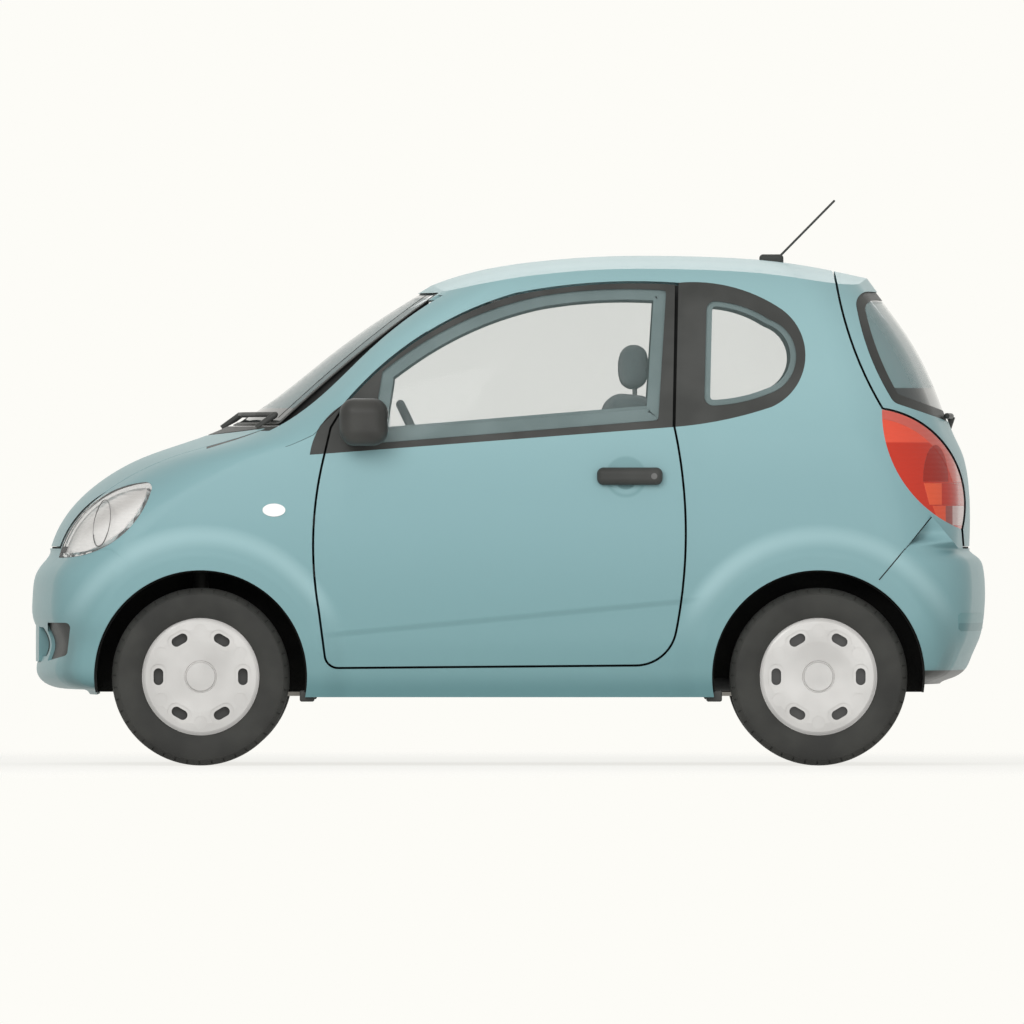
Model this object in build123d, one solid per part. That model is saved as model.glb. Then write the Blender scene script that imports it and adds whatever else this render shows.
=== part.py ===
"""A three-door supermini, built as its real panels, glass, lamps, cabin and running gear.

Frame: X runs from nose to tail, Y to the car's right, Z up. The origin lies on the ground, midway
along and across. All lengths are in millimetres. Left (-Y) pieces are drawn, right ones mirrored.
"""
from build123d import *
import math
import os
from collections import namedtuple

# Wheels and stance
FRONT_AXLE_X = -950.0
REAR_AXLE_X = 952.0
TYRE_R = 274.0
TYRE_HALF_WIDTH = 77.5
WHEEL_Y = 632.0
RIM_R = 181.0
BARREL_R = 165.0
HUB_R = 27.0
HUB_CLEARANCE = 0.05
ARCH_R = 328.0
COVER_FACE = 63.5
CAP_R = 46.0
WINDOW_R = 130.0
WINDOW_SIZE = (52.0, 30.0)
POCKET_SIZE = (78.0, 50.0)
POCKET_DEPTH = 3.0
DIMPLE_AT_R = 141.0
DIMPLE_R = 20.0
DIMPLE_DEPTH = 1.5
WELL_INNER_FRONT_Y = 385.0
WELL_INNER_REAR_Y = 480.0

# Walls, gaps and glass
PANEL = 40.0
WALL = 75.0
BONNET_T = 24.0
SHUT_GAP = 7.0
DOOR_REBATE = 10.0
DOOR_LIP_Y = 705.0
DOOR_HINGE_Z = (601.0, 754.0)
HINGE_LEAF_H = 40.0
HINGE_LEAF_Y = 748.0
HINGE_FOOT_Y = 668.0
HINGE_PIN = (-601.0, -755.5)
HINGE_PIN_R = 2.6
HINGE_PIN_H = 12.0
FRAME_REAR_GAP = 11.0
GLASS_INSET = 5.0
GLASS_T = 5.0
LINER_T = 5.0
LINER_GAP = 0.5
LINER_FOOT_Z = 226.0
TOUCH_GAP = 0.3
LAMP_PROUD = 4.0

# Heights and stations
SILL_Z = 211.0
FLOOR_Z = 272.0
FLOOR_T = 35.0
FLOOR_HALF_WIDTH = 625.0
BUMPER_TOP_Z = 668.0
COWL_Z = 1046.0
HEADER_Z = 1458.0
ROOF_FOOT_Z = 1435.0
BULKHEAD_X = -645.0
BULKHEAD_T = 33.0
SILL_TOP_Z = 292.0
PILLAR_FOOT = (-635.0, 1000.0)
PILLAR_HEAD = (-500.0, 1450.0)
POST_Y = 658.0
BACK_PANEL_X = 1300.0
BACK_PANEL_T = 25.0
STRIKER_HALF_WIDTH = 45.0
CORNER_TOP_Z = 800.0
ROOF_SEAM_Y = 470.0
GATE_X = 1000.0
ROOF_END_X = GATE_X + 60.0
VENT_INNER_Y = 430.0
REACH = 1800.0

# Door handle: a round dish behind the grip
DISH_X = 359.0
DISH_Z = 889.0
DISH_R = 52.0
DISH_DEPTH = 12.0

# Twist beam of the rear axle
BEAM_X = 700.0
BEAM_Z = 256.0
BEAM_R = 14.0

# Steering: the kingpin leans in from the lower ball joint to the strut top
BALL = (FRONT_AXLE_X, -600.0, 180.0)
STRUT_TOP = (FRONT_AXLE_X, -450.0, 780.0)
STRUT_R = 24.0
BALL_SEAT = 17.9
RAIL_INNER_Y = 345.0
RAIL_OUTER_Y = 380.0
STEERING_HUB = (-262.0, -330.0, 958.0)
STEERING_AXIS = (0.9, 0.0, 0.43)
COLUMN_R = 26.0
COLUMN_LENGTH = 180.0
COLUMN_CLEARANCE = 6.0

# Level sections of the body from sill to roof. At height z the outline runs from x_front to x_rear
# on the centre line and half_width to the side. The sags are how far the ends curve back at the
# sides, bow how far the side curves in at its ends, and r_front and r_rear round the corners.
Level = namedtuple("Level", "z x_front sag_front r_front half_width bow x_rear sag_rear r_rear")
LEVELS = [
    Level(SILL_Z, -1390, 100, 190, 722, 8, 1380, 80, 190),
    Level(430, -1428, 105, 200, 752, 8, 1410, 80, 200),
    Level(640, -1428, 110, 210, 758, 8, 1424, 80, 220),
    Level(760, -1380, 130, 240, 754, 8, 1428, 82, 250),
    Level(860, -1287, 165, 280, 743, 8, 1424, 85, 280),
    Level(950, -1134, 190, 280, 729, 8, 1408, 88, 300),
    Level(1032, -905, 205, 240, 713, 10, 1372, 90, 300),
    Level(1131, -736, 190, 180, 685, 12, 1336, 90, 290),
    Level(1280, -547, 150, 140, 640, 14, 1268, 85, 260),
    Level(1429, -330, 110, 140, 588, 20, 1166, 75, 220),
    Level(1480, -246, 100, 160, 562, 26, 1127, 75, 210),
    Level(1520, -179, 98, 170, 530, 30, 1098, 75, 208),
    Level(1560, -112, 95, 180, 478, 34, 1066, 75, 205),
    Level(1620, -8, 92, 175, 385, 37, 1018, 75, 200),
]
# The roof crown cuts the levels off at the top: stations along the centre line and their heights.
# Across the car it is an arc that drops ROOF_DROP at ROOF_REACH_Y from the centre line.
ROOF = [(-1600, 790), (-900, 1150), (-400, 1404), (-246, 1481), (-97, 1528), (48, 1553), (219, 1569),
        (451, 1575), (730, 1566), (901, 1547), (1009, 1527), (1118, 1503), (1600, 1390)]
ROOF_REACH_Y = 900.0
ROOF_DROP = 135.0

# Centre-line profiles of the bumpers: height and how far out the face stands
FRONT_BUMPER = [(217, -1300), (240, -1412), (275, -1460), (300, -1465), (335, -1456), (415, -1460),
                (455, -1476), (540, -1476), (590, -1466), (635, -1434), (BUMPER_TOP_Z, -1424)]
REAR_BUMPER = [(250, 1335), (268, 1374), (292, 1411), (338, 1434), (388, 1456), (437, 1468),
               (500, 1474), (561, 1474), (611, 1468), (640, 1452), (BUMPER_TOP_Z, 1428),
               (CORNER_TOP_Z, 1427)]


def level_outline(level):
    """The closed plan outline of one level: four arcs with rounded corners."""
    side = level.half_width - level.bow
    front = level.x_front + level.sag_front
    rear = level.x_rear - level.sag_rear
    middle = (front + rear) / 2
    corners = [(front, side), (front, -side), (rear, -side), (rear, side)]
    through = [(level.x_front, 0), (middle, -level.half_width),
               (level.x_rear, 0), (middle, level.half_width)]
    arcs = [Edge.make_three_point_arc(corners[i], through[i], corners[(i + 1) % 4]) for i in range(4)]
    face = Face(Wire(arcs))
    for radius, at in ((level.r_front, front), (level.r_rear, rear)):
        ends = [v for v in face.vertices()
                if abs(v.X - at) < 1e-6 and abs(abs(v.Y) - side) < 1e-6]
        face = face.fillet_2d(radius, ends)
    return face.moved(Location((0, 0, level.z))).outer_wire()


def slope(rows, i, column):
    """How fast a column changes with height at row i."""
    low, high = rows[max(i - 1, 0)], rows[min(i + 1, len(rows) - 1)]
    return (getattr(high, column) - getattr(low, column)) / (high.z - low.z)


def inset(rows, depth):
    """The same levels moved in by depth along the skin's normal."""
    moved = []
    for i, row in enumerate(rows):
        def sideways(column):
            return depth * math.hypot(1, slope(rows, i, column))

        moved.append(row._replace(
            z=row.z - (WALL if i == 0 and depth else 0),
            x_front=row.x_front + sideways("x_front"),
            half_width=row.half_width - sideways("half_width"),
            x_rear=row.x_rear - sideways("x_rear"),
            r_front=max(row.r_front - depth, row.r_front / 2),
            r_rear=max(row.r_rear - depth, row.r_rear / 2)))
    return moved


def loft(rows):
    """A solid through the outlines of these levels."""
    return Solid.make_loft([level_outline(row) for row in rows])


def crown(depth):
    """All that lies below the roof's skin, lowered by depth."""
    sections = []
    for x, top in ROOF:
        edge_z = top - depth - ROOF_DROP
        left, right = (x, -ROOF_REACH_Y, edge_z), (x, ROOF_REACH_Y, edge_z)
        foot_left, foot_right = (x, -ROOF_REACH_Y, -WALL), (x, ROOF_REACH_Y, -WALL)
        sections.append(Wire([Edge.make_three_point_arc(left, (x, 0, top - depth), right),
                              Edge.make_line(right, foot_right),
                              Edge.make_line(foot_right, foot_left),
                              Edge.make_line(foot_left, left)]))
    return Solid.make_loft(sections)


def skin(depth):
    """The body's solid inside a skin that lies depth below the outside."""
    return (loft(inset(LEVELS, depth)) & crown(depth)).solid()


def level_at(z):
    """The body's level at any height, between the rows of the table."""
    above = next(i for i, row in enumerate(LEVELS) if row.z >= z)
    low, high = LEVELS[max(above - 1, 0)], LEVELS[max(above, 1)]
    share = (z - low.z) / (high.z - low.z)
    return Level(*(a + share * (b - a) for a, b in zip(low, high)))


def bumper_block(profile, column, depth=0.0):
    """The solid inside a bumper's face, moved in by depth and then open at top and bottom."""
    inward = depth if column == "x_front" else -depth
    rows = []
    for i, (z, x) in enumerate(profile):
        row = level_at(z)
        lift = {0: -depth, len(profile) - 1: depth}.get(i, 0)
        rows.append(row._replace(**{column: x + inward}, z=z + lift,
                                 half_width=row.half_width - depth))
    return loft(rows)


def front_x(z, y):
    """Where the skin's front lies at a height and a distance from the centre line."""
    row = level_at(z)
    return row.x_front + row.sag_front * (y / (row.half_width - row.bow)) ** 2


def rear_x(z, y):
    """Where the skin's rear lies at a height and a distance from the centre line."""
    row = level_at(z)
    return row.x_rear - row.sag_rear * (y / (row.half_width - row.bow)) ** 2


def loop(*runs):
    """A closed flat face: two points make a line, three an arc through the middle one."""
    edges = [Edge.make_line(*run) if len(run) == 2 else Edge.make_three_point_arc(*run)
             for run in runs]
    return Face(Wire(edges))


def ring(*points):
    """A closed flat face with straight sides."""
    return Face(Wire.make_polygon(points))


def rounded(face, radius, *corners):
    """The face with these corners rounded."""
    picked = [face.vertices().sort_by_distance((*corner, 0))[0] for corner in corners]
    return face.fillet_2d(radius, picked)


def shrunk(face, gap):
    """The outline pulled in by a gap."""
    return offset(face, -gap).face()


def grown(face, gap):
    """The outline pushed out by a gap."""
    return offset(face, gap).face()


def less(face, *cuts):
    """The face with other faces taken out of it."""
    left_over = Sketch() + face
    for cut in cuts:
        left_over = left_over - cut
    return left_over


def disc(x, z, radius):
    """A round face in the side view."""
    return Pos(x, z) * Circle(radius)


def left_prism(drawing, inner_y=0.0):
    """A side-view drawing in X and Z pushed out to the left from inner_y."""
    return Pos(0, -inner_y, 0) * extrude(Plane.XZ * (Sketch() + drawing), REACH, dir=(0, -1, 0))


def through_prism(drawing):
    """A side-view drawing pushed right through the car."""
    return extrude(Plane.XZ * (Sketch() + drawing), REACH, both=True)


def plan_prism(drawing, foot_z):
    """A plan-view drawing pushed up from foot_z."""
    return Pos(0, 0, foot_z) * extrude(Sketch() + drawing, REACH, dir=(0, 0, 1))


def block(x0, x1, y0, y1, z0, z1):
    """A box between its limits."""
    return Pos((x0 + x1) / 2, (y0 + y1) / 2, (z0 + z1) / 2) * Box(x1 - x0, y1 - y0, z1 - z0)


def drum(x, y0, y1, z, radius):
    """A cylinder along Y."""
    return Pos(x, (y0 + y1) / 2, z) * Rot(90, 0, 0) * Cylinder(radius, abs(y1 - y0))


def rod(start, end, radius):
    """A round bar from one point to another."""
    along = Vector(*end) - Vector(*start)
    return extrude(Plane(start, z_dir=along) * Circle(radius), along.length)


def chain(points, radius):
    """Round bars through a row of points, with round joints."""
    bar = Pos(*points[0]) * Sphere(radius)
    for start, end in zip(points, points[1:]):
        bar = bar + rod(start, end, radius) + Pos(*end) * Sphere(radius)
    return bar


def soft_box(x0, x1, y0, y1, z0, z1, radius):
    """A box with all its edges rounded."""
    box = block(x0, x1, y0, y1, z0, z1)
    return fillet(box.edges(), radius)


nodes = {}


def right_of(shape):
    """The mirror piece on the car's right."""
    return mirror(shape, about=Plane.XZ)


def both_sides(name, left):
    """One node on each side."""
    nodes[name + "_left"] = left
    nodes[name + "_right"] = right_of(left)


def pair(name, left):
    """Two like solids on one body, in one node."""
    nodes[name] = Compound(children=[*left.solids(), *right_of(left).solids()])


# Side-view outlines, X and Z
BELT_FRONT = (-572, 960)
BELT_REAR = (512, 1043)
DOOR_TOP_REAR = (522, 1488)
SAIL_TIP = (-510, 1113)
SAIL_BEND = (-553, 1042)
DOOR = rounded(rounded(loop(
    (BELT_FRONT, (-606, 725), (-590, 480)),
    ((-590, 480), (-566, 297)),
    ((-566, 297), (492, 306)),
    ((492, 306), (545, 790), BELT_REAR),
    (BELT_REAR, DOOR_TOP_REAR),
    (DOOR_TOP_REAR, (280, 1490), (20, 1457)),
    ((20, 1457), (-248, 1340), SAIL_TIP),
    (SAIL_TIP, SAIL_BEND),
    (SAIL_BEND, BELT_FRONT)), 45, (-566, 297)), 130, (492, 306))
DOOR_WINDOW = rounded(loop(
    ((-426, 991), (-391, 1213)),
    ((-391, 1213), (-160, 1361), (97, 1447)),
    ((97, 1447), (285, 1467), (484, 1464)),
    ((484, 1464), (459, 1063)),
    ((459, 1063), (-426, 991))), 12, (-426, 991), (484, 1464), (459, 1063))
QUARTER = loop(
    (BELT_REAR, DOOR_TOP_REAR),
    (DOOR_TOP_REAR, (690, 1474), (838, 1407)),
    ((838, 1407), (912, 1252), (807, 1104)),
    ((807, 1104), (668, 1066), BELT_REAR))
QUARTER_WINDOW = rounded(loop(
    ((600, 1108), (608, 1432)),
    ((608, 1432), (720, 1414), (800, 1375)),
    ((800, 1375), (884, 1262), (800, 1145)),
    ((800, 1145), (706, 1117), (600, 1108))), 28, (600, 1108), (608, 1432))
SAIL = loop(
    (BELT_FRONT, (-614, 957)),
    ((-614, 957), (-585, 1040), SAIL_TIP),
    (SAIL_TIP, SAIL_BEND),
    (SAIL_BEND, BELT_FRONT))
WINDSCREEN = rounded(loop(
    ((-1300, COWL_Z), (-711, COWL_Z + 5)),
    ((-711, COWL_Z + 5), (-468, 1266), (-217, HEADER_Z)),
    ((-217, HEADER_Z), (-1300, HEADER_Z)),
    ((-1300, HEADER_Z), (-1300, COWL_Z))), 25, (-711, COWL_Z + 5))
HEADLAMP = rounded(loop(
    ((-1390, 640), (-1285, 808), (-1095, 874)),
    ((-1095, 874), (-1178, 722), (-1390, 640))), 18, (-1095, 874))
LAMP_TOP = (1148, 1096)
LAMP_FOOT = (1394, 728)
TAIL_LAMP = loop(
    (LAMP_TOP, (1318, 1012), LAMP_FOOT),
    (LAMP_FOOT, (1231, 848), LAMP_TOP))
TAILGATE = loop(
    ((GATE_X, REACH), (GATE_X, 1525)),
    ((GATE_X, 1525), (1046, 1320), LAMP_TOP),
    (LAMP_TOP, (1318, 1012), LAMP_FOOT),
    (LAMP_FOOT, (1400, BUMPER_TOP_Z)),
    ((1400, BUMPER_TOP_Z), (REACH, BUMPER_TOP_Z)),
    ((REACH, BUMPER_TOP_Z), (REACH, REACH)),
    ((REACH, REACH), (GATE_X, REACH)))
REAR_WINDOW = rounded(loop(
    ((1064, 1462), (1102, 1290), (1185, 1118)),
    ((1185, 1118), (REACH, 915)),
    ((REACH, 915), (REACH, 1462)),
    ((REACH, 1462), (1064, 1462))), 40, (1064, 1462), (1185, 1118))
FRONT_BUMPER_SIDE = ring((-REACH, BUMPER_TOP_Z), (-1222, BUMPER_TOP_Z), (-1040, 490),
                         (-1040, 0), (-REACH, 0))
REAR_BUMPER_SIDE = ring((REACH, BUMPER_TOP_Z), (1385, BUMPER_TOP_Z), (1300, 770), (1080, 492),
                        (1080, 0), (REACH, 0))
FOG_VENT = rounded(ring((-1424, 440), (-1350, 440), (-1362, 340), (-1424, 322)),
                   16, (-1350, 440), (-1362, 340))
WING = ring((-REACH, 0), (-516, 0), (-516, 1008), (-735, 1031), (-REACH, 1031))
WHOLE_SIDE = ring((-REACH, 0), (REACH, 0), (REACH, REACH), (-REACH, REACH))
BELT_SLOPE = (BELT_REAR[1] - BELT_FRONT[1]) / (BELT_REAR[0] - BELT_FRONT[0])
ABOVE_BELT = ring((-REACH, BELT_FRONT[1] - BELT_SLOPE * (REACH + BELT_FRONT[0])),
                  (REACH, BELT_REAR[1] + BELT_SLOPE * (REACH - BELT_REAR[0])),
                  (REACH, REACH), (-REACH, REACH))
FRONT_ARCH = disc(FRONT_AXLE_X, TYRE_R, ARCH_R)
REAR_ARCH = disc(REAR_AXLE_X, TYRE_R, ARCH_R)

# Bonnet outline in plan: straight sides and a curved rear edge below the windscreen
BONNET_REAR_X = -738.0
BONNET_REAR_Y = 588.0
BONNET_REAR_BOW = 195.0
BONNET_FRONT_Y = 420.0
BONNET_NOSE_X = -1460.0
BUFFER_Y = 250.0
BUFFER_R = 7.0
BONNET = loop(
    ((BONNET_REAR_X, BONNET_REAR_Y), (BONNET_REAR_X - BONNET_REAR_BOW, 0),
     (BONNET_REAR_X, -BONNET_REAR_Y)),
    ((BONNET_REAR_X, -BONNET_REAR_Y), (BONNET_NOSE_X, -BONNET_FRONT_Y)),
    ((BONNET_NOSE_X, -BONNET_FRONT_Y), (BONNET_NOSE_X, BONNET_FRONT_Y)),
    ((BONNET_NOSE_X, BONNET_FRONT_Y), (BONNET_REAR_X, BONNET_REAR_Y)))

# Solids inside the skin, each a little further in
outer = skin(0)
behind_panel = skin(PANEL)
behind_bonnet = skin(BONNET_T)
glass_front = skin(GLASS_INSET)
glass_back = skin(GLASS_INSET + GLASS_T)
proud = skin(-LAMP_PROUD)
cabin = skin(WALL)


def make_doors():
    """Painted lower panel, black window frame and glass of each door.

    The panel is rebated behind its outer lip and the frame stands further from the pillar, so
    that the inner edges swing past the rear of the opening.
    """
    leaf = shrunk(DOOR, SHUT_GAP)
    lower = left_prism(less(leaf, ABOVE_BELT), FLOOR_HALF_WIDTH / 2)
    rebate = left_prism(less(leaf, shrunk(leaf, DOOR_REBATE))) & block(
        -REACH, REACH, -DOOR_LIP_Y, 0, 0, REACH)
    pillar = ring((BELT_REAR[0] - FRAME_REAR_GAP, BELT_REAR[1] - WALL),
                  (DOOR_TOP_REAR[0] - FRAME_REAR_GAP, DOOR_TOP_REAR[1]),
                  (REACH, DOOR_TOP_REAR[1]), (REACH, BELT_REAR[1] - WALL))
    upper = left_prism(less(leaf, less(WHOLE_SIDE, ABOVE_BELT), DOOR_WINDOW, pillar),
                       FLOOR_HALF_WIDTH / 2)
    dish_y = level_at(DISH_Z).half_width + DISH_R - DISH_DEPTH
    dish = Pos(DISH_X, -dish_y, DISH_Z) * Sphere(DISH_R)
    both_sides("door_panel", ((lower - rebate - cabin) & outer) - dish)
    both_sides("window_frame", (upper - behind_bonnet) & outer)
    both_sides("door_glass", (left_prism(DOOR_WINDOW, FLOOR_HALF_WIDTH / 2) - glass_back) & glass_front)


def hinge_leaf(z):
    """A door hinge's leaf: it fills the shut line in front of the door and stands on the post."""
    low, high = z - HINGE_LEAF_H / 2, z + HINGE_LEAF_H / 2
    line = less(shrunk(DOOR, TOUCH_GAP), shrunk(DOOR, SHUT_GAP - TOUCH_GAP))
    leaf = left_prism(line) & block(-REACH, BELT_FRONT[0], -HINGE_LEAF_Y, -POST_Y, low, high)
    foot = block(BULKHEAD_X + BULKHEAD_T / 2, HINGE_PIN[0], -HINGE_FOOT_Y, 1 - POST_Y, low, high)
    neck = block(HINGE_PIN[0] - HINGE_PIN_R / 2, HINGE_PIN[0] + HINGE_PIN_R / 2, HINGE_PIN[1],
                 -HINGE_LEAF_Y + HINGE_PIN_R, z - HINGE_PIN_H / 2, z + HINGE_PIN_H / 2)
    return leaf + foot + neck + Pos(*HINGE_PIN, z) * Cylinder(HINGE_PIN_R, HINGE_PIN_H)


def make_body_sides():
    """Pillars, cantrail, rear quarter and sill of each side, round the door opening."""
    drawing = less(WHOLE_SIDE, WING, FRONT_BUMPER_SIDE, REAR_BUMPER_SIDE, DOOR, WINDSCREEN, TAILGATE,
                   TAIL_LAMP, QUARTER, SAIL, REAR_ARCH)
    side = left_prism(drawing) - cabin
    side = side - block(-REACH, ROOF_END_X, -ROOF_SEAM_Y, 0, ROOF_FOOT_Z, REACH)
    side = side - block(-REACH, 0, -BONNET_REAR_Y, 0, 0, COWL_Z + 10)
    lean = ring((0, PILLAR_FOOT[1]), PILLAR_FOOT, PILLAR_HEAD, (0, PILLAR_HEAD[1]))
    side = (side - extrude(Plane.YZ * (Sketch() + lean), REACH, dir=(-1, 0, 0))) & outer
    sill = block(BULKHEAD_X, 590, -675, -FLOOR_HALF_WIDTH, SILL_Z + 10, SILL_TOP_Z)
    post = block(BULKHEAD_X, BULKHEAD_X + BULKHEAD_T, -POST_Y, -FLOOR_HALF_WIDTH, SILL_Z + 10, COWL_Z)
    well = drum(FRONT_AXLE_X, -REACH, 0, TYRE_R, ARCH_R)
    side = side + (sill - well) + ((post - well) & behind_panel)
    for z in DOOR_HINGE_Z:
        side = side + hinge_leaf(z)
    both_sides("body_side", side)


def make_roof():
    """Roof panel between the two seams, from the windscreen header to the tailgate."""
    top = less(ring((-REACH, ROOF_FOOT_Z), (ROOF_END_X, ROOF_FOOT_Z), (ROOF_END_X, REACH),
                    (-REACH, REACH)), WINDSCREEN, TAILGATE)
    strip = through_prism(top) & block(-REACH, REACH, -ROOF_SEAM_Y, ROOF_SEAM_Y, 0, REACH)
    nodes["roof_panel"] = (strip - cabin) & outer


def make_nose():
    """Bonnet, wings, cowl and front bumper with its grille."""
    lid = plan_prism(shrunk(BONNET, SHUT_GAP), BUMPER_TOP_Z + SHUT_GAP)
    nodes["bonnet"] = (lid - behind_bonnet - through_prism(grown(HEADLAMP, SHUT_GAP))) & outer
    hole = plan_prism(BONNET, BUMPER_TOP_Z)
    wing = left_prism(less(WING, FRONT_BUMPER_SIDE, DOOR, HEADLAMP, FRONT_ARCH, SAIL), RAIL_OUTER_Y)
    inboard = block(BONNET_REAR_X - BONNET_REAR_BOW, 0, -BONNET_REAR_Y, 0, 0, REACH)
    both_sides("wing", (wing - hole - inboard - behind_panel) & outer)
    tray = block(BONNET_REAR_X - BONNET_REAR_BOW, BULKHEAD_X, -BONNET_REAR_Y, BONNET_REAR_Y,
                 COWL_Z - 140, COWL_Z)
    nodes["cowl_panel"] = (tray - hole - behind_panel) & outer
    drawing = less(FRONT_BUMPER_SIDE, HEADLAMP, FRONT_ARCH)
    face = (through_prism(drawing) - bumper_block(FRONT_BUMPER, "x_front", PANEL))
    face = face & bumper_block(FRONT_BUMPER, "x_front")
    vents = through_prism(FOG_VENT) - block(-REACH, 0, -VENT_INNER_Y, VENT_INNER_Y, 0, REACH)
    mouth = soft_box(-REACH, -1300, -395, 395, 335, 425, 30) + vents
    face = face - mouth
    for y in (-BUFFER_Y, BUFFER_Y):
        x = front_x(BUMPER_TOP_Z, y) + BONNET_T / 2
        top = BUMPER_TOP_Z + SHUT_GAP - TOUCH_GAP
        face = face + Pos(x, y, top - SHUT_GAP) * Cylinder(BUFFER_R, 2 * SHUT_GAP)
    nodes["front_bumper"] = face
    mesh = mouth - bumper_block(FRONT_BUMPER, "x_front", PANEL * 0.75)
    nodes["front_grille"] = mesh & bumper_block(FRONT_BUMPER, "x_front", PANEL * 0.25)


def make_tail():
    """Tailgate, its glass, and the rear bumper."""
    gate = less(shrunk(TAILGATE, SHUT_GAP), REAR_WINDOW)
    nodes["tailgate"] = (through_prism(gate) - behind_panel) & outer
    nodes["rear_glass"] = (through_prism(REAR_WINDOW) - glass_back) & glass_front
    drawing = less(REAR_BUMPER_SIDE, TAIL_LAMP, REAR_ARCH, TAILGATE)
    face = through_prism(drawing) - bumper_block(REAR_BUMPER, "x_rear", PANEL)
    nodes["rear_bumper"] = face & bumper_block(REAR_BUMPER, "x_rear")


def make_glass_and_lamps():
    """Windscreen, quarter windows, sail trims and lamps."""
    nodes["windscreen"] = (through_prism(WINDSCREEN) - glass_back) & glass_front
    frame = left_prism(less(QUARTER, QUARTER_WINDOW), FLOOR_HALF_WIDTH / 2)
    pair("quarter_frames", (frame - behind_panel) & outer)
    pair("quarter_glass", (left_prism(QUARTER_WINDOW, FLOOR_HALF_WIDTH / 2) - glass_back) & glass_front)
    pair("sail_trims", (left_prism(SAIL, FLOOR_HALF_WIDTH / 2) - behind_panel) & outer)
    pair("headlamps", (left_prism(HEADLAMP, RAIL_OUTER_Y / 2) - behind_panel) & outer)
    pair("tail_lamps", (left_prism(TAIL_LAMP, RAIL_OUTER_Y / 2) - behind_panel) & outer)
    oval = Pos(-724, 787) * Ellipse(35, 20)
    pair("side_repeaters", (left_prism(oval, FLOOR_HALF_WIDTH / 2) - outer) & proud)


def make_door_furniture():
    """Mirrors and pull handles, shaped to the skin they sit on."""
    shell = soft_box(-522, -372, -872, -738, 985, 1131, 48)
    arm = soft_box(-505, -432, -760, -660, 985, 1040, 18)
    both_sides("mirror", shell + (arm - outer))
    grip = soft_box(270, 472, -776, -700, 864, 918, 20)
    both_sides("door_handle", grip - outer)


def make_platform():
    """Floor, bulkhead and back panel."""
    floor = block(BULKHEAD_X + BULKHEAD_T, 590, -FLOOR_HALF_WIDTH, FLOOR_HALF_WIDTH, FLOOR_Z,
                  FLOOR_Z + FLOOR_T)
    boot = block(590, BACK_PANEL_X, -WELL_INNER_REAR_Y, WELL_INNER_REAR_Y, FLOOR_Z, FLOOR_Z + FLOOR_T)
    nodes["floor_pan"] = floor + boot
    wall = block(BULKHEAD_X, BULKHEAD_X + BULKHEAD_T, -FLOOR_HALF_WIDTH, FLOOR_HALF_WIDTH,
                 FLOOR_Z, COWL_Z - 90)
    for end in (-1, 1):
        wall = wall - drum(FRONT_AXLE_X, end * WELL_INNER_FRONT_Y, end * REACH, TYRE_R, ARCH_R)
    nodes["bulkhead"] = wall
    back = block(BACK_PANEL_X, BACK_PANEL_X + BACK_PANEL_T, -WELL_INNER_REAR_Y, WELL_INNER_REAR_Y,
                 FLOOR_Z + FLOOR_T - 10, BUMPER_TOP_Z - 20)
    striker = block(BACK_PANEL_X, REACH, -STRIKER_HALF_WIDTH, STRIKER_HALF_WIDTH,
                    BUMPER_TOP_Z + 2 * SHUT_GAP, BUMPER_TOP_Z + 6 * SHUT_GAP) & behind_panel
    post = block(BACK_PANEL_X, BACK_PANEL_X + BACK_PANEL_T, -STRIKER_HALF_WIDTH, STRIKER_HALF_WIDTH,
                 FLOOR_Z + FLOOR_T, BUMPER_TOP_Z + 6 * SHUT_GAP)
    nodes["back_panel"] = back + post + Pos(-TOUCH_GAP, 0, 0) * striker


def make_liners():
    """Black arch liners: half drums open at the side and bottom."""
    liners = []
    for x, inner_y in ((FRONT_AXLE_X, WELL_INNER_FRONT_Y), (REAR_AXLE_X, WELL_INNER_REAR_Y)):
        tub = drum(x, -700, -inner_y, TYRE_R, ARCH_R - LINER_GAP)
        tub = tub - drum(x, -REACH, -inner_y - LINER_T, TYRE_R, ARCH_R - LINER_GAP - LINER_T)
        tub = tub - block(-REACH, REACH, -REACH, 0, -REACH, LINER_FOOT_Z)
        liners.append(tub)
    shaft_hole = drum(FRONT_AXLE_X, -REACH, 0, TYRE_R, 110)
    strut_hole = rod(BALL, STRUT_TOP, STRUT_R + 20)
    pair("front_liners", liners[0] - shaft_hole - strut_hole)
    arm_slot = block(575, REAR_AXLE_X, -545, -485, 0, FLOOR_Z + 10)
    beam_slot = drum(BEAM_X, -REACH, 0, BEAM_Z, BEAM_R + LINER_T)
    pair("rear_liners", liners[1] - arm_slot - beam_slot)


def spun(x, points):
    """A left wheel piece from its half section: radius and distance outward of the wheel's middle."""
    section = ring(*[(radius, -out) for radius, out in points])
    return Pos(x, -WHEEL_Y, TYRE_R) * revolve(section, Axis.Y)


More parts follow.
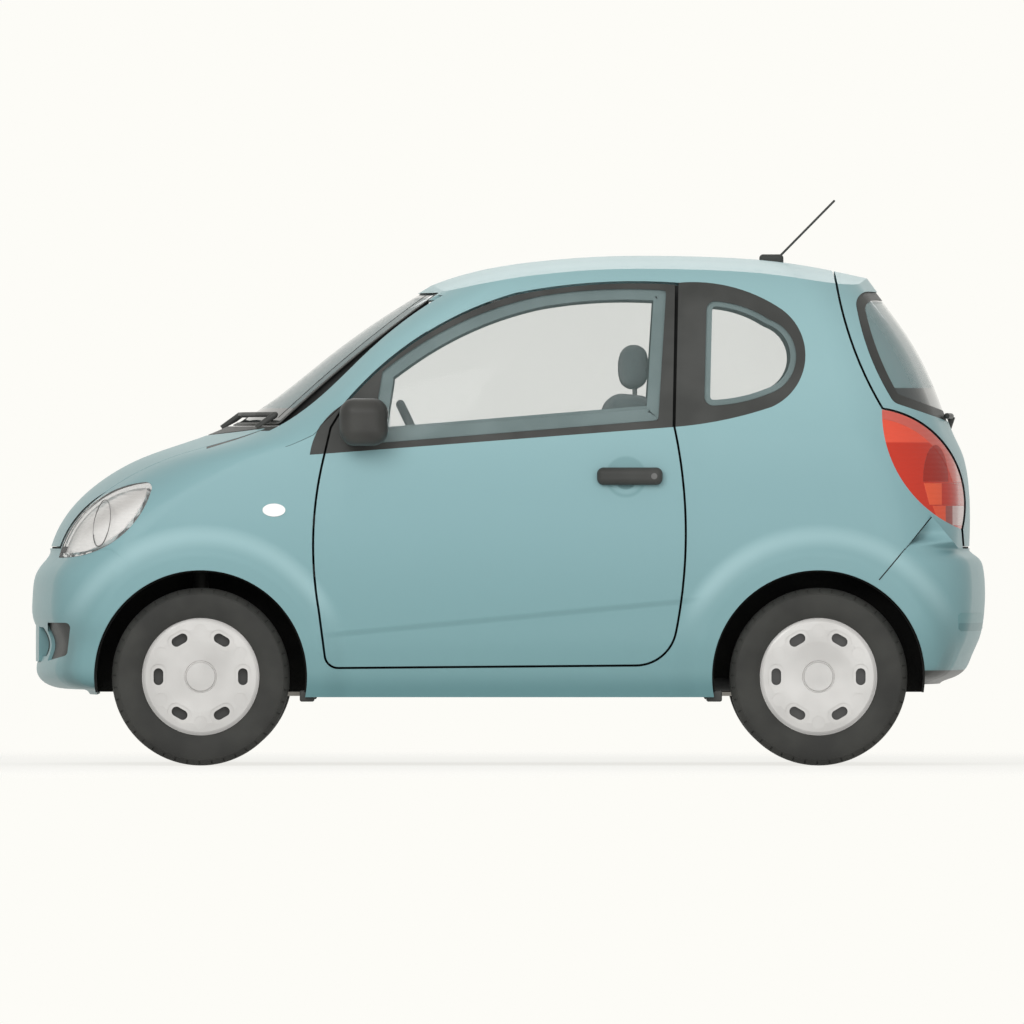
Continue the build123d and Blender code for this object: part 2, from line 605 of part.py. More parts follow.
def make_wheels():
    """Tyres and wheels: hub, web and barrel with the pierced cover in front."""
    half = [(BARREL_R + TOUCH_GAP, 52), (RIM_R + 1, 52), (RIM_R + 3, 62), (205, 74),
            (228, TYRE_HALF_WIDTH), (250, 74), (264, 66), (TYRE_R - 2, 56), (TYRE_R, 48)]
    tyre = half + [(radius, -out) for radius, out in reversed(half)]
    bore = HUB_R + HUB_CLEARANCE
    hub = [(bore, -14), (48, -14), (48, 18), (157, 20), (157, 26), (48, 26), (48, 36), (bore, 36)]
    barrel = [(156, -58), (RIM_R - 1, -58), (RIM_R - 1, -53), (BARREL_R, -52), (BARREL_R, 52),
              (RIM_R - 1, 53), (RIM_R - 1, 59), (156, 59)]
    cover = [(0, 62), (CAP_R - 3, 62), (CAP_R - 1, 60), (CAP_R, 57), (CAP_R + 2, 57), (CAP_R + 4, 60),
             (108, 63), (146, 64), (170, 63), (RIM_R, 58), (RIM_R - 1, 55), (156, 55), (146, 57),
             (108, 54), (60, 49), (0, 49)]
    for end, x in (("front", FRONT_AXLE_X), ("rear", REAR_AXLE_X)):
        both_sides(f"tyre_{end}", spun(x, tyre))
        disc_face = spun(x, cover)
        for step in range(6):
            turn = Pos(x, -WHEEL_Y, TYRE_R) * Rot(0, 60 * step, 0)
            slot = turn * Pos(WINDOW_R, -COVER_FACE, 0) * Rot(90, 0, 0) * Rot(0, 0, 90)
            disc_face = disc_face - slot * extrude(SlotOverall(*WINDOW_SIZE), COVER_FACE / 2, both=True)
            disc_face = disc_face - slot * extrude(SlotOverall(*POCKET_SIZE), POCKET_DEPTH, both=True)
            dimple = turn * Rot(0, 30, 0) * Pos(DIMPLE_AT_R, -COVER_FACE, 0) * Rot(90, 0, 0)
            disc_face = disc_face - dimple * Cylinder(DIMPLE_R, 2 * DIMPLE_DEPTH)
        both_sides(f"wheel_{end}", spun(x, hub) + spun(x, barrel) + disc_face)


def make_front_suspension():
    """Subframe with rails, towers and lower arms, and the two steered knuckles."""
    beam = block(FRONT_AXLE_X - 70, FRONT_AXLE_X + 70, -RAIL_OUTER_Y, RAIL_OUTER_Y, 215, 262)
    left = block(-1370, BULKHEAD_X, -RAIL_OUTER_Y, -RAIL_INNER_Y, 262, 350)
    left = left + block(FRONT_AXLE_X - 70, FRONT_AXLE_X + 70, -RAIL_OUTER_Y, -RAIL_INNER_Y, 340, 800)
    left = left + block(FRONT_AXLE_X - 70, FRONT_AXLE_X + 70, -510, -RAIL_INNER_Y,
                        STRUT_TOP[2] + 8, STRUT_TOP[2] + 22)
    pivot = (FRONT_AXLE_X, -RAIL_OUTER_Y + 15, 232)
    left = left + rod(pivot, (BALL[0], BALL[1], BALL[2] - 8), 16)
    nose_beam = block(-1370, -1345, -RAIL_OUTER_Y - 120, RAIL_OUTER_Y + 120, 440, 560)
    struts = block(-1370, -1345, -RAIL_OUTER_Y, -RAIL_INNER_Y, 262, 450)
    nodes["front_subframe"] = beam + left + right_of(left) + nose_beam + struts + right_of(struts)
    along = (Vector(*STRUT_TOP) - Vector(*BALL)).normalized()
    foot = Vector(*BALL) + along * BALL_SEAT
    knee = Vector(*BALL) + along * 300
    upright = rod(tuple(foot), tuple(knee), 15) + rod(tuple(knee), STRUT_TOP, STRUT_R)
    upright = upright + drum(FRONT_AXLE_X, -602, -548, TYRE_R, 45)
    upright = upright + drum(FRONT_AXLE_X, -602, -596, TYRE_R, 70)
    both_sides("knuckle", upright + drum(FRONT_AXLE_X, -WHEEL_Y - 30, -600, TYRE_R, HUB_R))


def make_rear_suspension():
    """Twist beam with its trailing arms and stub axles, exhaust, and the engine's block."""
    bend = (800, -515, 250)
    arm = rod((575, -515, 250), bend, 20) + Pos(*bend) * Sphere(20) + rod(bend, (REAR_AXLE_X, -515, TYRE_R), 20)
    arm = arm + block(550, 588, -540, -490, 229, FLOOR_Z)
    arm = arm + drum(REAR_AXLE_X, -602, -505, TYRE_R, 45)
    arm = arm + drum(REAR_AXLE_X, -602, -575, TYRE_R, 105)
    arm = arm + drum(REAR_AXLE_X, -WHEEL_Y - 30, -600, TYRE_R, HUB_R)
    nodes["rear_axle"] = arm + right_of(arm) + drum(BEAM_X, -515, 515, BEAM_Z, BEAM_R)
    pipe = chain([(-735, 120, 300), (-690, 120, 225), (800, 120, 225), (1040, 200, 240)], 15)
    nodes["exhaust"] = pipe + soft_box(1020, 1235, 60, 330, 214, FLOOR_Z, 24)
    nodes["engine"] = block(-1290, -760, -330, 330, 262, 720)


def make_cabin():
    """Dashboard, steering wheel and seats."""
    shelf = rounded(ring((BULKHEAD_X + BULKHEAD_T, 690), (-470, 660), (-345, 800), (-330, 940),
                         (-400, 1000), (-560, 985), (BULKHEAD_X + BULKHEAD_T, 930)),
                    40, (-330, 940), (-400, 1000), (-470, 660))
    tilt = Plane(STEERING_HUB, z_dir=STEERING_AXIS)
    along = Vector(*STEERING_AXIS).normalized()
    column_end = tuple(Vector(*STEERING_HUB) - along * COLUMN_LENGTH)
    hole_end = tuple(Vector(*STEERING_HUB) - along * (COLUMN_LENGTH + TOUCH_GAP))
    nodes["dashboard"] = extrude(Plane.XZ * (Sketch() + shelf), 585, both=True) - rod(
        STEERING_HUB, hole_end, COLUMN_R + COLUMN_CLEARANCE)
    spokes = tilt * Cylinder(48, 34) + tilt * Box(36, 330, 16)
    nodes["steering_wheel"] = tilt * Torus(172, 14) + spokes + rod(STEERING_HUB, column_end, COLUMN_R)
    squab = rounded(ring((-150, 400), (330, 380), (330, 560), (-130, 580)), 50, (-150, 400), (-130, 580))
    rest = rounded(ring((200, 400), (345, 400), (455, 1150), (335, 1165)), 45, (455, 1150), (335, 1165))
    base = block(-60, 300, -500, -170, FLOOR_Z + FLOOR_T, 420)
    seat = Pos(0, -95, 0) * extrude(Plane.XZ * (Sketch() + squab + rest), 480)
    head = soft_box(340, 432, -455, -215, 1175, 1302, 35)
    posts = rod((390, -390, 1120), (388, -390, 1200), 7) + rod((390, -280, 1120), (388, -280, 1200), 7)
    pair("front_seats", base + seat + head + posts)
    bench = rounded(ring((640, 380), (1000, 380), (1120, 1010), (1000, 1040), (900, 600), (660, 600)),
                    45, (660, 600), (1120, 1010), (1000, 1040))
    legs = block(680, 960, -400, 400, FLOOR_Z + FLOOR_T, 400)
    nodes["rear_seat"] = extrude(Plane.XZ * (Sketch() + bench), 465, both=True) + legs


def make_wipers_and_antenna():
    """Wiper arms, the rear wiper and the roof antenna."""
    lift = 14
    arms = []
    for start, end in ((-520, -20), (30, 530)):
        row = [(front_x(1082, y) - lift, y, 1082) for y in (start, start * 0.7 + end * 0.3,
                                                             start * 0.3 + end * 0.7, end)]
        pivot = rod((front_x(COWL_Z - 6, start), start, COWL_Z - 6), row[0], 10)
        arms.append(chain(row, 8) + (pivot - outer))
    nodes["wipers"] = Compound(children=arms)
    row = [(rear_x(1078, y) + lift, y, 1078) for y in (0, -140, -300)]
    nodes["rear_wiper"] = chain(row, 9) + (rod((rear_x(1030, 0) - 20, 0, 1030), row[0], 14) - outer)
    mast = chain([(815, 0, 1550), (1007, 0, 1745)], 3.5)
    nodes["antenna"] = (mast + soft_box(775, 850, -16, 16, 1545, 1580, 12)) - outer


for build in (make_doors, make_body_sides, make_roof, make_nose, make_tail, make_glass_and_lamps,
              make_door_furniture, make_platform, make_liners, make_wheels, make_front_suspension,
              make_rear_suspension, make_cabin, make_wipers_and_antenna):
    build()

os.makedirs("parts", exist_ok=True)
for name, shape in nodes.items():
    export_step(shape, f"parts/{name}.step")
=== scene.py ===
import math

import bmesh
import bpy
from mathutils import Matrix, Vector
from mathutils.bvhtree import BVHTree


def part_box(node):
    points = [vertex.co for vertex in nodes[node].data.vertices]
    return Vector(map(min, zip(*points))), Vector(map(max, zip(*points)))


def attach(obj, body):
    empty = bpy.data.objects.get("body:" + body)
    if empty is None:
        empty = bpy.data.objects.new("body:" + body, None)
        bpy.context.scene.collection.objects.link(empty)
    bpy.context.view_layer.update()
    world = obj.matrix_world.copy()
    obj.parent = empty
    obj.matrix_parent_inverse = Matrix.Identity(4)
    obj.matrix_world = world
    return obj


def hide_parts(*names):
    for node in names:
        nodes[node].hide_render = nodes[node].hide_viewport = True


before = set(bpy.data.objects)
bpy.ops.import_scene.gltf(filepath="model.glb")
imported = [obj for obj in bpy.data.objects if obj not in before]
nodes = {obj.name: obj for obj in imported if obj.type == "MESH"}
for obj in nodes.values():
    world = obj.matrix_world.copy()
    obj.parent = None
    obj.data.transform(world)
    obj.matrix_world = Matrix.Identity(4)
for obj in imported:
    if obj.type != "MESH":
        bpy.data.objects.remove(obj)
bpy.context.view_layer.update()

SIDES = {"left": -1, "right": 1}
CORNERS = [(end, side) for end in ("front", "rear") for side in SIDES]

# Photograph scale: one pixel of the 1024 frame is this many metres, and the frame's middle looks at
# this point of the centre plane.
PIXEL = 0.0031
FRAME_PIXELS = 1024
VIEW_X = 0.0085
VIEW_Z = 0.781
VIEW_DISTANCE = 100.0
SENSOR = 36.0


def srgb(red, green, blue):
    """A colour given in screen values, as the shader's linear values."""
    linear = []
    for part in (red, green, blue):
        part = part / 255
        linear.append(part / 12.92 if part <= 0.04045 else ((part + 0.055) / 1.055) ** 2.4)
    return (*linear, 1.0)


BACKDROP = srgb(253, 252, 247)


# Finishes

class Value:
    """A number that varies over a surface. Arithmetic on it adds Math nodes."""

    def __init__(self, finish, socket):
        self.finish = finish
        self.socket = socket

    def reckon(self, operation, *others):
        numbers = dict(enumerate((self, *others)))
        return self.finish.node("ShaderNodeMath", {"operation": operation}, numbers)

    def __add__(self, other):
        return self.reckon("ADD", other)

    def __sub__(self, other):
        return self.reckon("SUBTRACT", other)

    def __rsub__(self, other):
        return self.finish.node("ShaderNodeMath", {"operation": "SUBTRACT"}, {0: other, 1: self})

    def __mul__(self, other):
        return self.reckon("MULTIPLY", other)

    def __truediv__(self, other):
        return self.reckon("DIVIDE", other)

    __radd__ = __add__
    __rmul__ = __mul__

    def __abs__(self):
        return self.reckon("ABSOLUTE")

    def step(self, low, high):
        """0 below low, 1 above high and a smooth rise between them."""
        return self.finish.node("ShaderNodeMapRange", {"interpolation_type": "SMOOTHSTEP"},
                                {"Value": self, "From Min": low, "From Max": high})

    def ridge(self, middle, half_width):
        """1 on a line where the value is middle, 0 at half_width to either side of it."""
        return 1 - abs(self - middle).step(0, half_width)


class Finish:
    """A material for one of the car's surfaces, on the object's own coordinates."""

    def __init__(self, name, **uniform):
        self.material = bpy.data.materials.new(name)
        self.material.use_nodes = True
        self.tree = self.material.node_tree
        self.shader = self.tree.nodes["Principled BSDF"]
        for socket, value in uniform.items():
            self.shader.inputs[socket.replace("_", " ").title().replace("Ior", "IOR")].default_value = value

    def node(self, kind, settings=None, sockets=None, output=0):
        """Adds one node, with its settings first and then its sockets' values or links."""
        made = self.tree.nodes.new(kind)
        for name, value in (settings or {}).items():
            setattr(made, name, value)
        for name, value in (sockets or {}).items():
            if isinstance(value, Value):
                self.tree.links.new(value.socket, made.inputs[name])
            else:
                made.inputs[name].default_value = value
        return Value(self, made.outputs[output])

    def feed(self, **sockets):
        """Links varying values to the shader's own sockets."""
        for name, value in sockets.items():
            self.tree.links.new(value.socket, self.shader.inputs[name.replace("_", " ").title()])
        return self

    def place(self):
        """Where a point lies, in the object's own coordinates."""
        return self.node("ShaderNodeTexCoord", output="Object")

    def axes(self):
        """The three coordinates of a point on the car."""
        split = self.node("ShaderNodeSeparateXYZ", sockets={"Vector": self.place()}).socket.node
        return [Value(self, socket) for socket in split.outputs]

    def noise(self, scale, detail=2.0):
        """Cloudy variation from 0 to 1, with this many clouds to a metre."""
        return self.node("ShaderNodeTexNoise",
                         sockets={"Vector": self.place(), "Scale": scale, "Detail": detail})

    def blend(self, share, first, second):
        """A colour between two, by a share that varies."""
        mixed = self.node("ShaderNodeMix", {"data_type": "RGBA"}).socket.node
        self.tree.links.new(share.socket, mixed.inputs["Factor"])
        for name, colour in (("A", first), ("B", second)):
            picked = next(s for s in mixed.inputs if s.name == name and s.type == "RGBA")
            if isinstance(colour, Value):
                self.tree.links.new(colour.socket, picked)
            else:
                picked.default_value = colour
        return Value(self, next(s for s in mixed.outputs if s.type == "RGBA"))

    def relief(self, height, depth):
        """Raised and sunk detail: a height from 0 to 1 that stands depth metres high."""
        sockets = {"Height": height, "Distance": depth, "Strength": 1.0}
        return self.feed(normal=self.node("ShaderNodeBump", sockets=sockets))


def far(across, up):
    """The distance from a point, by how far off it is along each of two axes."""
    return (across * across + up * up).reckon("SQRT")


def grained(name, dark, light, roughness, grain_scale, grain_depth, **uniform):
    """Moulded plastic, rubber or cast metal: a fine grain and a soft change of tone."""
    finish = Finish(name, **{"specular_ior_level": 0.2, **uniform})
    grain = finish.noise(grain_scale, 3)
    cloud = finish.noise(7)
    finish.feed(base_color=finish.blend(cloud.step(0.3, 0.7), dark, light),
                roughness=roughness + (grain - 0.5) * 0.16)
    return finish.relief(grain, grain_depth)


def painted(name, extra=None):
    """Body paint: a light flake, painted shade from the belt down and painted light from the belt up to
    the roof, darker towards the sill as painted deep shade, a painted highlight round the wheel arches,
    painted shade in the handle's dish, and the swells round the wheel arches and the crease along the
    door's foot."""
    finish = Finish(name, metallic=0.0, coat_weight=0.06, coat_roughness=0.12, specular_ior_level=0.14)
    x, y, z = finish.axes()
    sides = abs(y).step(*SIDE_TONE_Y)
    # Painted shade and light: darker from the belt down towards the sill, lighter from the belt up to the
    # roof.
    colour = finish.blend(z.step(SILL_TONE_Z, BELT_TONE_Z), PAINT_LOW, PAINT)
    colour = finish.blend(z.step(BELT_TONE_Z, ROOF_TONE_Z), colour, PAINT_HIGH)
    flake = finish.noise(FLAKES, 1)
    colour = finish.blend((flake - 0.5) * 0.10 + 0.05, colour, PAINT_HIGH)
    # Painted deep shade along the foot of the sill.
    colour = finish.blend(z.step(*SILL_SHADE_Z), PAINT_DEEP_SHADE, colour)
    arch = x.reckon("SIGN") * (AXLE_SPAN / 2) + AXLE_MIDDLE
    radius = far(x - arch, z - AXLE_Z)
    glint = radius.ridge(FLARE_LIGHT_R, FLARE_LIGHT_HALF) * z.step(*FLARE_LIGHT_Z) * sides
    colour = finish.blend(glint * 0.55, colour, PAINT_GLINT)
    # Painted shade in the dish round the door handle: a darker rim and floor.
    up = z - HANDLE_Z
    dish = far(x - HANDLE_X, up)
    dish_edge = dish.ridge(DISH_R, DISH_EDGE)
    dish_floor = (1 - dish.step(DISH_FLOOR_R, DISH_R)) * up.step(-DISH_FADE, DISH_FADE)
    for shade in (dish_edge, dish_floor):
        colour = finish.blend(shade * sides * 0.5, colour, PAINT_DEEP_SHADE)
    if extra:
        colour = extra(finish, x, z, colour)
    finish.feed(base_color=colour, roughness=0.36 + (finish.noise(60) - 0.5) * 0.08)
    swell = (1 - radius.step(*FLARE_R)) * abs(y).step(*SWELL_Y)
    crease = (z - x * CREASE_SLOPE).step(CREASE_Z - CREASE_HALF, CREASE_Z + CREASE_HALF)
    crease = crease * abs(x).step(*CREASE_END_X) * abs(y).step(*CREASE_Y)
    return finish.relief(swell * 0.8 + crease * 0.2, SWELL_DEPTH)


# Places and tones for the finishes. Lengths are in metres, and a pair is where a change begins and
# ends. Flakes, flutes and threads are how closely a pattern repeats.
AXLE = {end: sum(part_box(f"wheel_{end}_left"), Vector()) / 2 for end in ("front", "rear")}
AXLE_MIDDLE = (AXLE["front"].x + AXLE["rear"].x) / 2
AXLE_SPAN = AXLE["rear"].x - AXLE["front"].x
AXLE_Z = AXLE["front"].z
FLARE_R = (0.365, 0.47)
SWELL_Y = (0.60, 0.68)
SWELL_DEPTH = 0.030
CREASE_Z = 0.455
CREASE_HALF = 0.012
CREASE_SLOPE = 0.095
CREASE_END_X = (0.62, 0.50)
CREASE_Y = (0.60, 0.66)
FLAKES = 1400
SIDE_TONE_Y = (0.58, 0.66)
SILL_SHADE_Z = (0.23, 0.30)
# Where the painted shade below the belt and the painted light towards the roof begin and end.
SILL_TONE_Z = 0.25
BELT_TONE_Z = 0.80
ROOF_TONE_Z = 1.25
# The body paint, then its lighter tone for painted light towards the roof and for the flake, painted shade
# below the belt, painted deep shade for the sill and the handle's dish, and painted highlight round the
# arches.
PAINT = srgb(136, 173, 177)
PAINT_HIGH = srgb(152, 188, 191)
PAINT_LOW = srgb(124, 162, 165)
PAINT_DEEP_SHADE = srgb(106, 145, 148)
PAINT_GLINT = srgb(172, 206, 209)
FLARE_LIGHT_R = 0.432
FLARE_LIGHT_HALF = 0.045
FLARE_LIGHT_Z = (0.40, 0.56)
HANDLE_X = 0.359
HANDLE_Z = 0.889
# The dish round the door handle, whose rim and floor get painted shade.
DISH_R = 0.058
DISH_FLOOR_R = 0.050
DISH_EDGE = 0.010
DISH_FADE = 0.06
HINGE_X = -0.60
HINGE_Z = 0.68
HINGE_END_X = (0.045, 0.050)
HINGE_END_Z = (0.16, 0.17)
# Painted deep shade for the hinge leaves seen through the door's front shut line.
SHUT_LINE_SHADE = srgb(24, 28, 28)
VALANCE = srgb(75, 77, 74)
VALANCE_FRONT_X = (1.262, 1.266)
VALANCE_TOP_Z = (0.292, 0.295)
# Where the painted shade of the rear recess plates changes tone.
RECESS_SHADE_MIDDLE_Z = (0.438, 0.440)
COVER_FRONT_Y = (0.674, 0.678)
PRINT = srgb(66, 72, 72)
PRINT_FADE = 0.004
# The slope of the painted shade fields in the headlamp bowl.
SHADE_FIELD_SLOPE = 0.62
BOWL_FLUTES = 500
THREADS = 1600

paint = painted("teal_paint")
trim = grained("black_trim", srgb(60, 61, 59), srgb(72, 73, 71), 0.5, 900, 0.0003)
liner_felt = grained("liner_felt", srgb(18, 18, 17), srgb(27, 27, 25), 0.85, 260, 0.0012)
rubber = grained("tyre_rubber", srgb(52, 52, 50), srgb(64, 64, 61), 0.62, 500, 0.0004)


def cover_finish():
    """Silver plastic of the wheel covers, and the dark steel that shows behind their windows."""
    finish = Finish("cover_plastic", coat_weight=0.3, coat_roughness=0.1)
    x, y, z = finish.axes()
    front = abs(y).step(*COVER_FRONT_Y)
    silver = finish.blend(finish.noise(7).step(0.3, 0.7), srgb(192, 190, 187), srgb(208, 206, 203))
    finish.feed(base_color=finish.blend(front, srgb(38, 38, 36), silver),
                metallic=front * 0.15,
                roughness=0.38 + (finish.noise(700) - 0.5) * 0.1)
    return finish


cover_plastic = cover_finish()
wheel_steel = grained("wheel_steel", srgb(34, 34, 33), srgb(48, 48, 46), 0.5, 300, 0.0003, metallic=0.4)
chassis_coat = grained("chassis_coat", srgb(42, 43, 43), srgb(60, 61, 60), 0.62, 120, 0.0008)
cast_metal = grained("cast_metal", srgb(120, 121, 120), srgb(148, 149, 147), 0.5, 220, 0.0010, metallic=0.7)
exhaust_steel = grained("exhaust_steel", srgb(112, 108, 102), srgb(150, 147, 142), 0.42, 90, 0.0003,
                        metallic=0.85)
rubber_strip = grained("rubber_strip", srgb(30, 31, 30), srgb(42, 43, 42), 0.8, 300, 0.0004)
cabin_trim = grained("cabin_trim", srgb(108, 124, 124), srgb(120, 136, 136), 0.6, 800, 0.0004)
lamp_rim = grained("lamp_rim", srgb(216, 210, 205), srgb(228, 223, 218), 0.35, 500, 0.0001, coat_weight=0.4)
leaf_rim = grained("leaf_rim", srgb(96, 97, 96), srgb(118, 118, 116), 0.3, 400, 0.0001)
mirror_silver = grained("mirror_silver", srgb(188, 196, 198), srgb(204, 211, 213), 0.06, 40, 0.00001,
                        metallic=1.0)
dash_skin = grained("dash_skin", srgb(78, 86, 86), srgb(92, 101, 101), 0.6, 650, 0.0006)
mirror_shell = grained("mirror_shell", srgb(56, 56, 54), srgb(70, 70, 67), 0.42, 800, 0.0002)


def pane(name, colour, alpha, printed=None):
    """Tinted glass, with a printed dark band where one is given."""
    finish = Finish(name, roughness=0.03, ior=1.5, specular_ior_level=0.4)
    haze = finish.noise(2.2)
    tint = finish.blend(haze.step(0.35, 0.75), colour, tuple(0.92 * c for c in colour[:3]) + (1.0,))
    clear = (haze - 0.5) * 0.03 + alpha
    if printed:
        band = dark_band(finish, *printed)
        tint = finish.blend(band, tint, PRINT)
        clear = clear + band * (0.97 - alpha)
    return finish.feed(base_color=tint, alpha=clear)


def dark_band(finish, glass, header, foot):
    """The dark band along the top and the foot of a glass, this far in from each."""
    low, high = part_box(glass)
    z = finish.axes()[2]
    return 1 - (high.z - z).step(header, header + PRINT_FADE) * (z - low.z).step(foot, foot + PRINT_FADE)


side_glass = pane("side_glass", srgb(150, 168, 166), 0.12)
screen_glass = pane("screen_glass", srgb(112, 150, 154), 0.62, ("windscreen", 0.014, 0.05))
rear_glass_tint = pane("rear_glass_tint", srgb(134, 166, 168), 0.55, ("rear_glass", 0.03, 0.10))
lamp_lens = pane("lamp_lens", srgb(246, 245, 243), 0.16)

# Cells of the tail lamp in the side view: the arc of its rear edge, the levels and places of the cells,
# and how the fronts of the lower two lean
LAMP_ARC_X = 1.1095
LAMP_ARC_Z = 0.8040
# The painted highlight along the lamp's rear edge: its distance from the arc's centre, and where it fades
# out at the foot.
LAMP_HIGHLIGHT_R = (0.2645, 0.2675)
LAMP_HIGHLIGHT_FOOT_Z = (0.872, 0.876)
UPPER_FIELD_Z = (0.992, 0.999)
ARCH_X = 1.314
ARCH_FOOT_Z = 0.8736
ARCH_HALF = 0.040
ARCH_HEIGHT = 0.115
BAND_FOOT_Z = (0.802, 0.804)
BAND_TOP_Z = (0.869, 0.871)
BAND_LEAN = 0.25
BAND_FRONT = (1.493, 1.496)
BAND_DARK_X = (1.331, 1.334)
CELL_FOOT_Z = (0.738, 0.742)
CELL_TOP_Z = (0.799, 0.801)
CELL_LEAN = 0.36
CELL_FRONT = (1.590, 1.593)
CELL_DARK_X = (1.343, 1.346)
CELL_CLEAR_X = (1.364, 1.368)
LENS_FLUTES = 420
LENS_DEPTH = 0.004


def lamp_red():
    """Moulded red lamp: a light upper field, an arched cell, a band and a reversing cell below, and a
    painted highlight along its rear edge.
    """
    finish = Finish("lamp_red", coat_weight=0.12, coat_roughness=0.05, roughness=0.25,
                    specular_ior_level=0.12)
    x, y, z = finish.axes()
    colour = finish.blend(z.step(*UPPER_FIELD_Z), srgb(204, 62, 46), srgb(238, 92, 70))
    # Painted highlight: a pale band along the lamp's rear edge.
    edge = far(x - LAMP_ARC_X, z - LAMP_ARC_Z).step(*LAMP_HIGHLIGHT_R) * z.step(*LAMP_HIGHLIGHT_FOOT_Z)
    colour = finish.blend(edge, colour, srgb(214, 104, 92))
    across = (x - ARCH_X) / ARCH_HALF
    up = (z - ARCH_FOOT_Z) / ARCH_HEIGHT
    arch = (1 - (across * across + up * up).step(0.94, 1.0)) * up.step(0, 0.02)
    colour = finish.blend(arch, colour, srgb(166, 50, 40))
    band = z.step(*BAND_FOOT_Z) * (1 - z.step(*BAND_TOP_Z)) * (x + z * BAND_LEAN).step(*BAND_FRONT)
    colour = finish.blend(band, colour, srgb(236, 98, 66))
    colour = finish.blend(band * x.step(*BAND_DARK_X), colour, srgb(196, 58, 44))
    cell = (1 - z.step(*CELL_TOP_Z)) * (x + z * CELL_LEAN).step(*CELL_FRONT) * z.step(*CELL_FOOT_Z)
    colour = finish.blend(cell, colour, srgb(230, 92, 64))
    colour = finish.blend(cell * x.step(*CELL_DARK_X), colour, srgb(158, 84, 78))
    colour = finish.blend(cell * x.step(*CELL_CLEAR_X), colour, srgb(206, 176, 172))
    flute = (z * LENS_FLUTES).reckon("SINE")
    finish.feed(base_color=colour, roughness=0.2 + (finish.noise(200) - 0.5) * 0.06)
    return finish.relief(flute * 0.08 + edge * 0.5 + band * 0.4 + cell * 0.3 + (1 - arch) * 0.3, LENS_DEPTH)


red_lens = lamp_red()


def lamp_bowl():
    """Bright reflecting bowl behind the headlamp lens: pale, with painted shade in two slanting grey
    fields.
    """
    finish = Finish("lamp_silver", metallic=0.1, coat_weight=0.5, coat_roughness=0.05)
    x, y, z = finish.axes()
    # Painted shade: two slanting grey fields across the pale bowl.
    slant = z - x * SHADE_FIELD_SLOPE
    shade_fields = slant.ridge(1.545, 0.05) * 0.8 + slant.ridge(1.64, 0.03) * 0.6
    colour = finish.blend(shade_fields, srgb(240, 238, 235), srgb(190, 186, 182))
    finish.feed(base_color=colour, roughness=0.25 + (finish.noise(120) - 0.5) * 0.1)
    return finish.relief((z * BOWL_FLUTES).reckon("SINE"), 0.0004)


lamp_silver = lamp_bowl()


def valance(finish, x, z, colour):
    """The black foot of the rear bumper."""
    return finish.blend(x.step(*VALANCE_FRONT_X) * (1 - z.step(*VALANCE_TOP_Z)), colour, VALANCE)


def recess_shade_tones(finish, x, z, colour):
    """The two tones of painted shade on the rear recess plates, like paint seen in a shallow recess."""
    return finish.blend(z.step(*RECESS_SHADE_MIDDLE_Z), srgb(96, 138, 142), srgb(116, 158, 161))


def hinge_shade(finish, x, z, colour):
    """The hinge leaves behind the front shut line of the door, in deep shade."""
    leaves = (1 - abs(x - HINGE_X).step(*HINGE_END_X)) * (1 - abs(z - HINGE_Z).step(*HINGE_END_Z))
    return finish.blend(leaves, colour, SHUT_LINE_SHADE)


side_paint = painted("side_paint", hinge_shade)
bumper_paint = painted("bumper_paint", valance)
shaded_paint = painted("shaded_paint", recess_shade_tones)
repeater_lens = grained("repeater_lens", srgb(232, 230, 226), srgb(248, 247, 244), 0.2, 160, 0.0004,
                        coat_weight=0.6)


def weave(name, dark, light):
    """Woven seat cloth and carpet: crossed threads about two millimetres apart."""
    finish = Finish(name, sheen_weight=0.4, sheen_roughness=0.5)
    x, y, z = finish.axes()
    thread = (y * THREADS).reckon("SINE") * ((z + x) * THREADS).reckon("SINE")
    cloud = finish.noise(11)
    finish.feed(base_color=finish.blend(thread * 0.35 + cloud * 0.5 + 0.1, dark, light),
                roughness=0.85 + thread * 0.05)
    return finish.relief(thread * 0.5 + 0.5, 0.0012)


seat_cloth = weave("seat_cloth", srgb(90, 101, 101), srgb(114, 126, 126))
carpet = weave("carpet", srgb(58, 63, 63), srgb(78, 84, 84))


def dress(finish, *names):
    """Gives CAD nodes a finish."""
    for name in names:
        mesh = nodes[name].data
        mesh.materials.clear()
        mesh.materials.append(finish.material)


def both(*stems):
    """The left and right names of each stem."""
    return [f"{stem}_{side}" for stem in stems for side in SIDES]


dress(paint, *both("wing", "door_panel"), "roof_panel", "bonnet", "tailgate", "front_bumper")
dress(side_paint, *both("body_side"))
dress(bumper_paint, "rear_bumper")
dress(trim, *both("window_frame"), "cowl_panel", "front_grille", "quarter_frames", "sail_trims", "wipers",
      "rear_wiper", "antenna", *both("door_handle"))
dress(mirror_shell, *both("mirror"))
dress(liner_felt, "front_liners", "rear_liners")
dress(side_glass, *both("door_glass"), "quarter_glass")
dress(screen_glass, "windscreen")
dress(rear_glass_tint, "rear_glass")
dress(lamp_lens, "headlamps")
dress(red_lens, "tail_lamps")
dress(repeater_lens, "side_repeaters")
dress(chassis_coat, "floor_pan", "bulkhead", "back_panel", "front_subframe", "rear_axle")
dress(cast_metal, "engine")
dress(exhaust_steel, "exhaust")
dress(dash_skin, "dashboard", "steering_wheel")
dress(seat_cloth, "front_seats", "rear_seat")
for end, side in CORNERS:
    dress(rubber, f"tyre_{end}_{side}")
    dress(cover_plastic, f"wheel_{end}_{side}")
dress(wheel_steel, *both("knuckle"))


# Pieces

SHARP = math.radians(32)
THIN = 1e-5
QUARTER_TURN = math.pi / 2
BAND_SMOOTHINGS = 3
FAR_OFF = 3


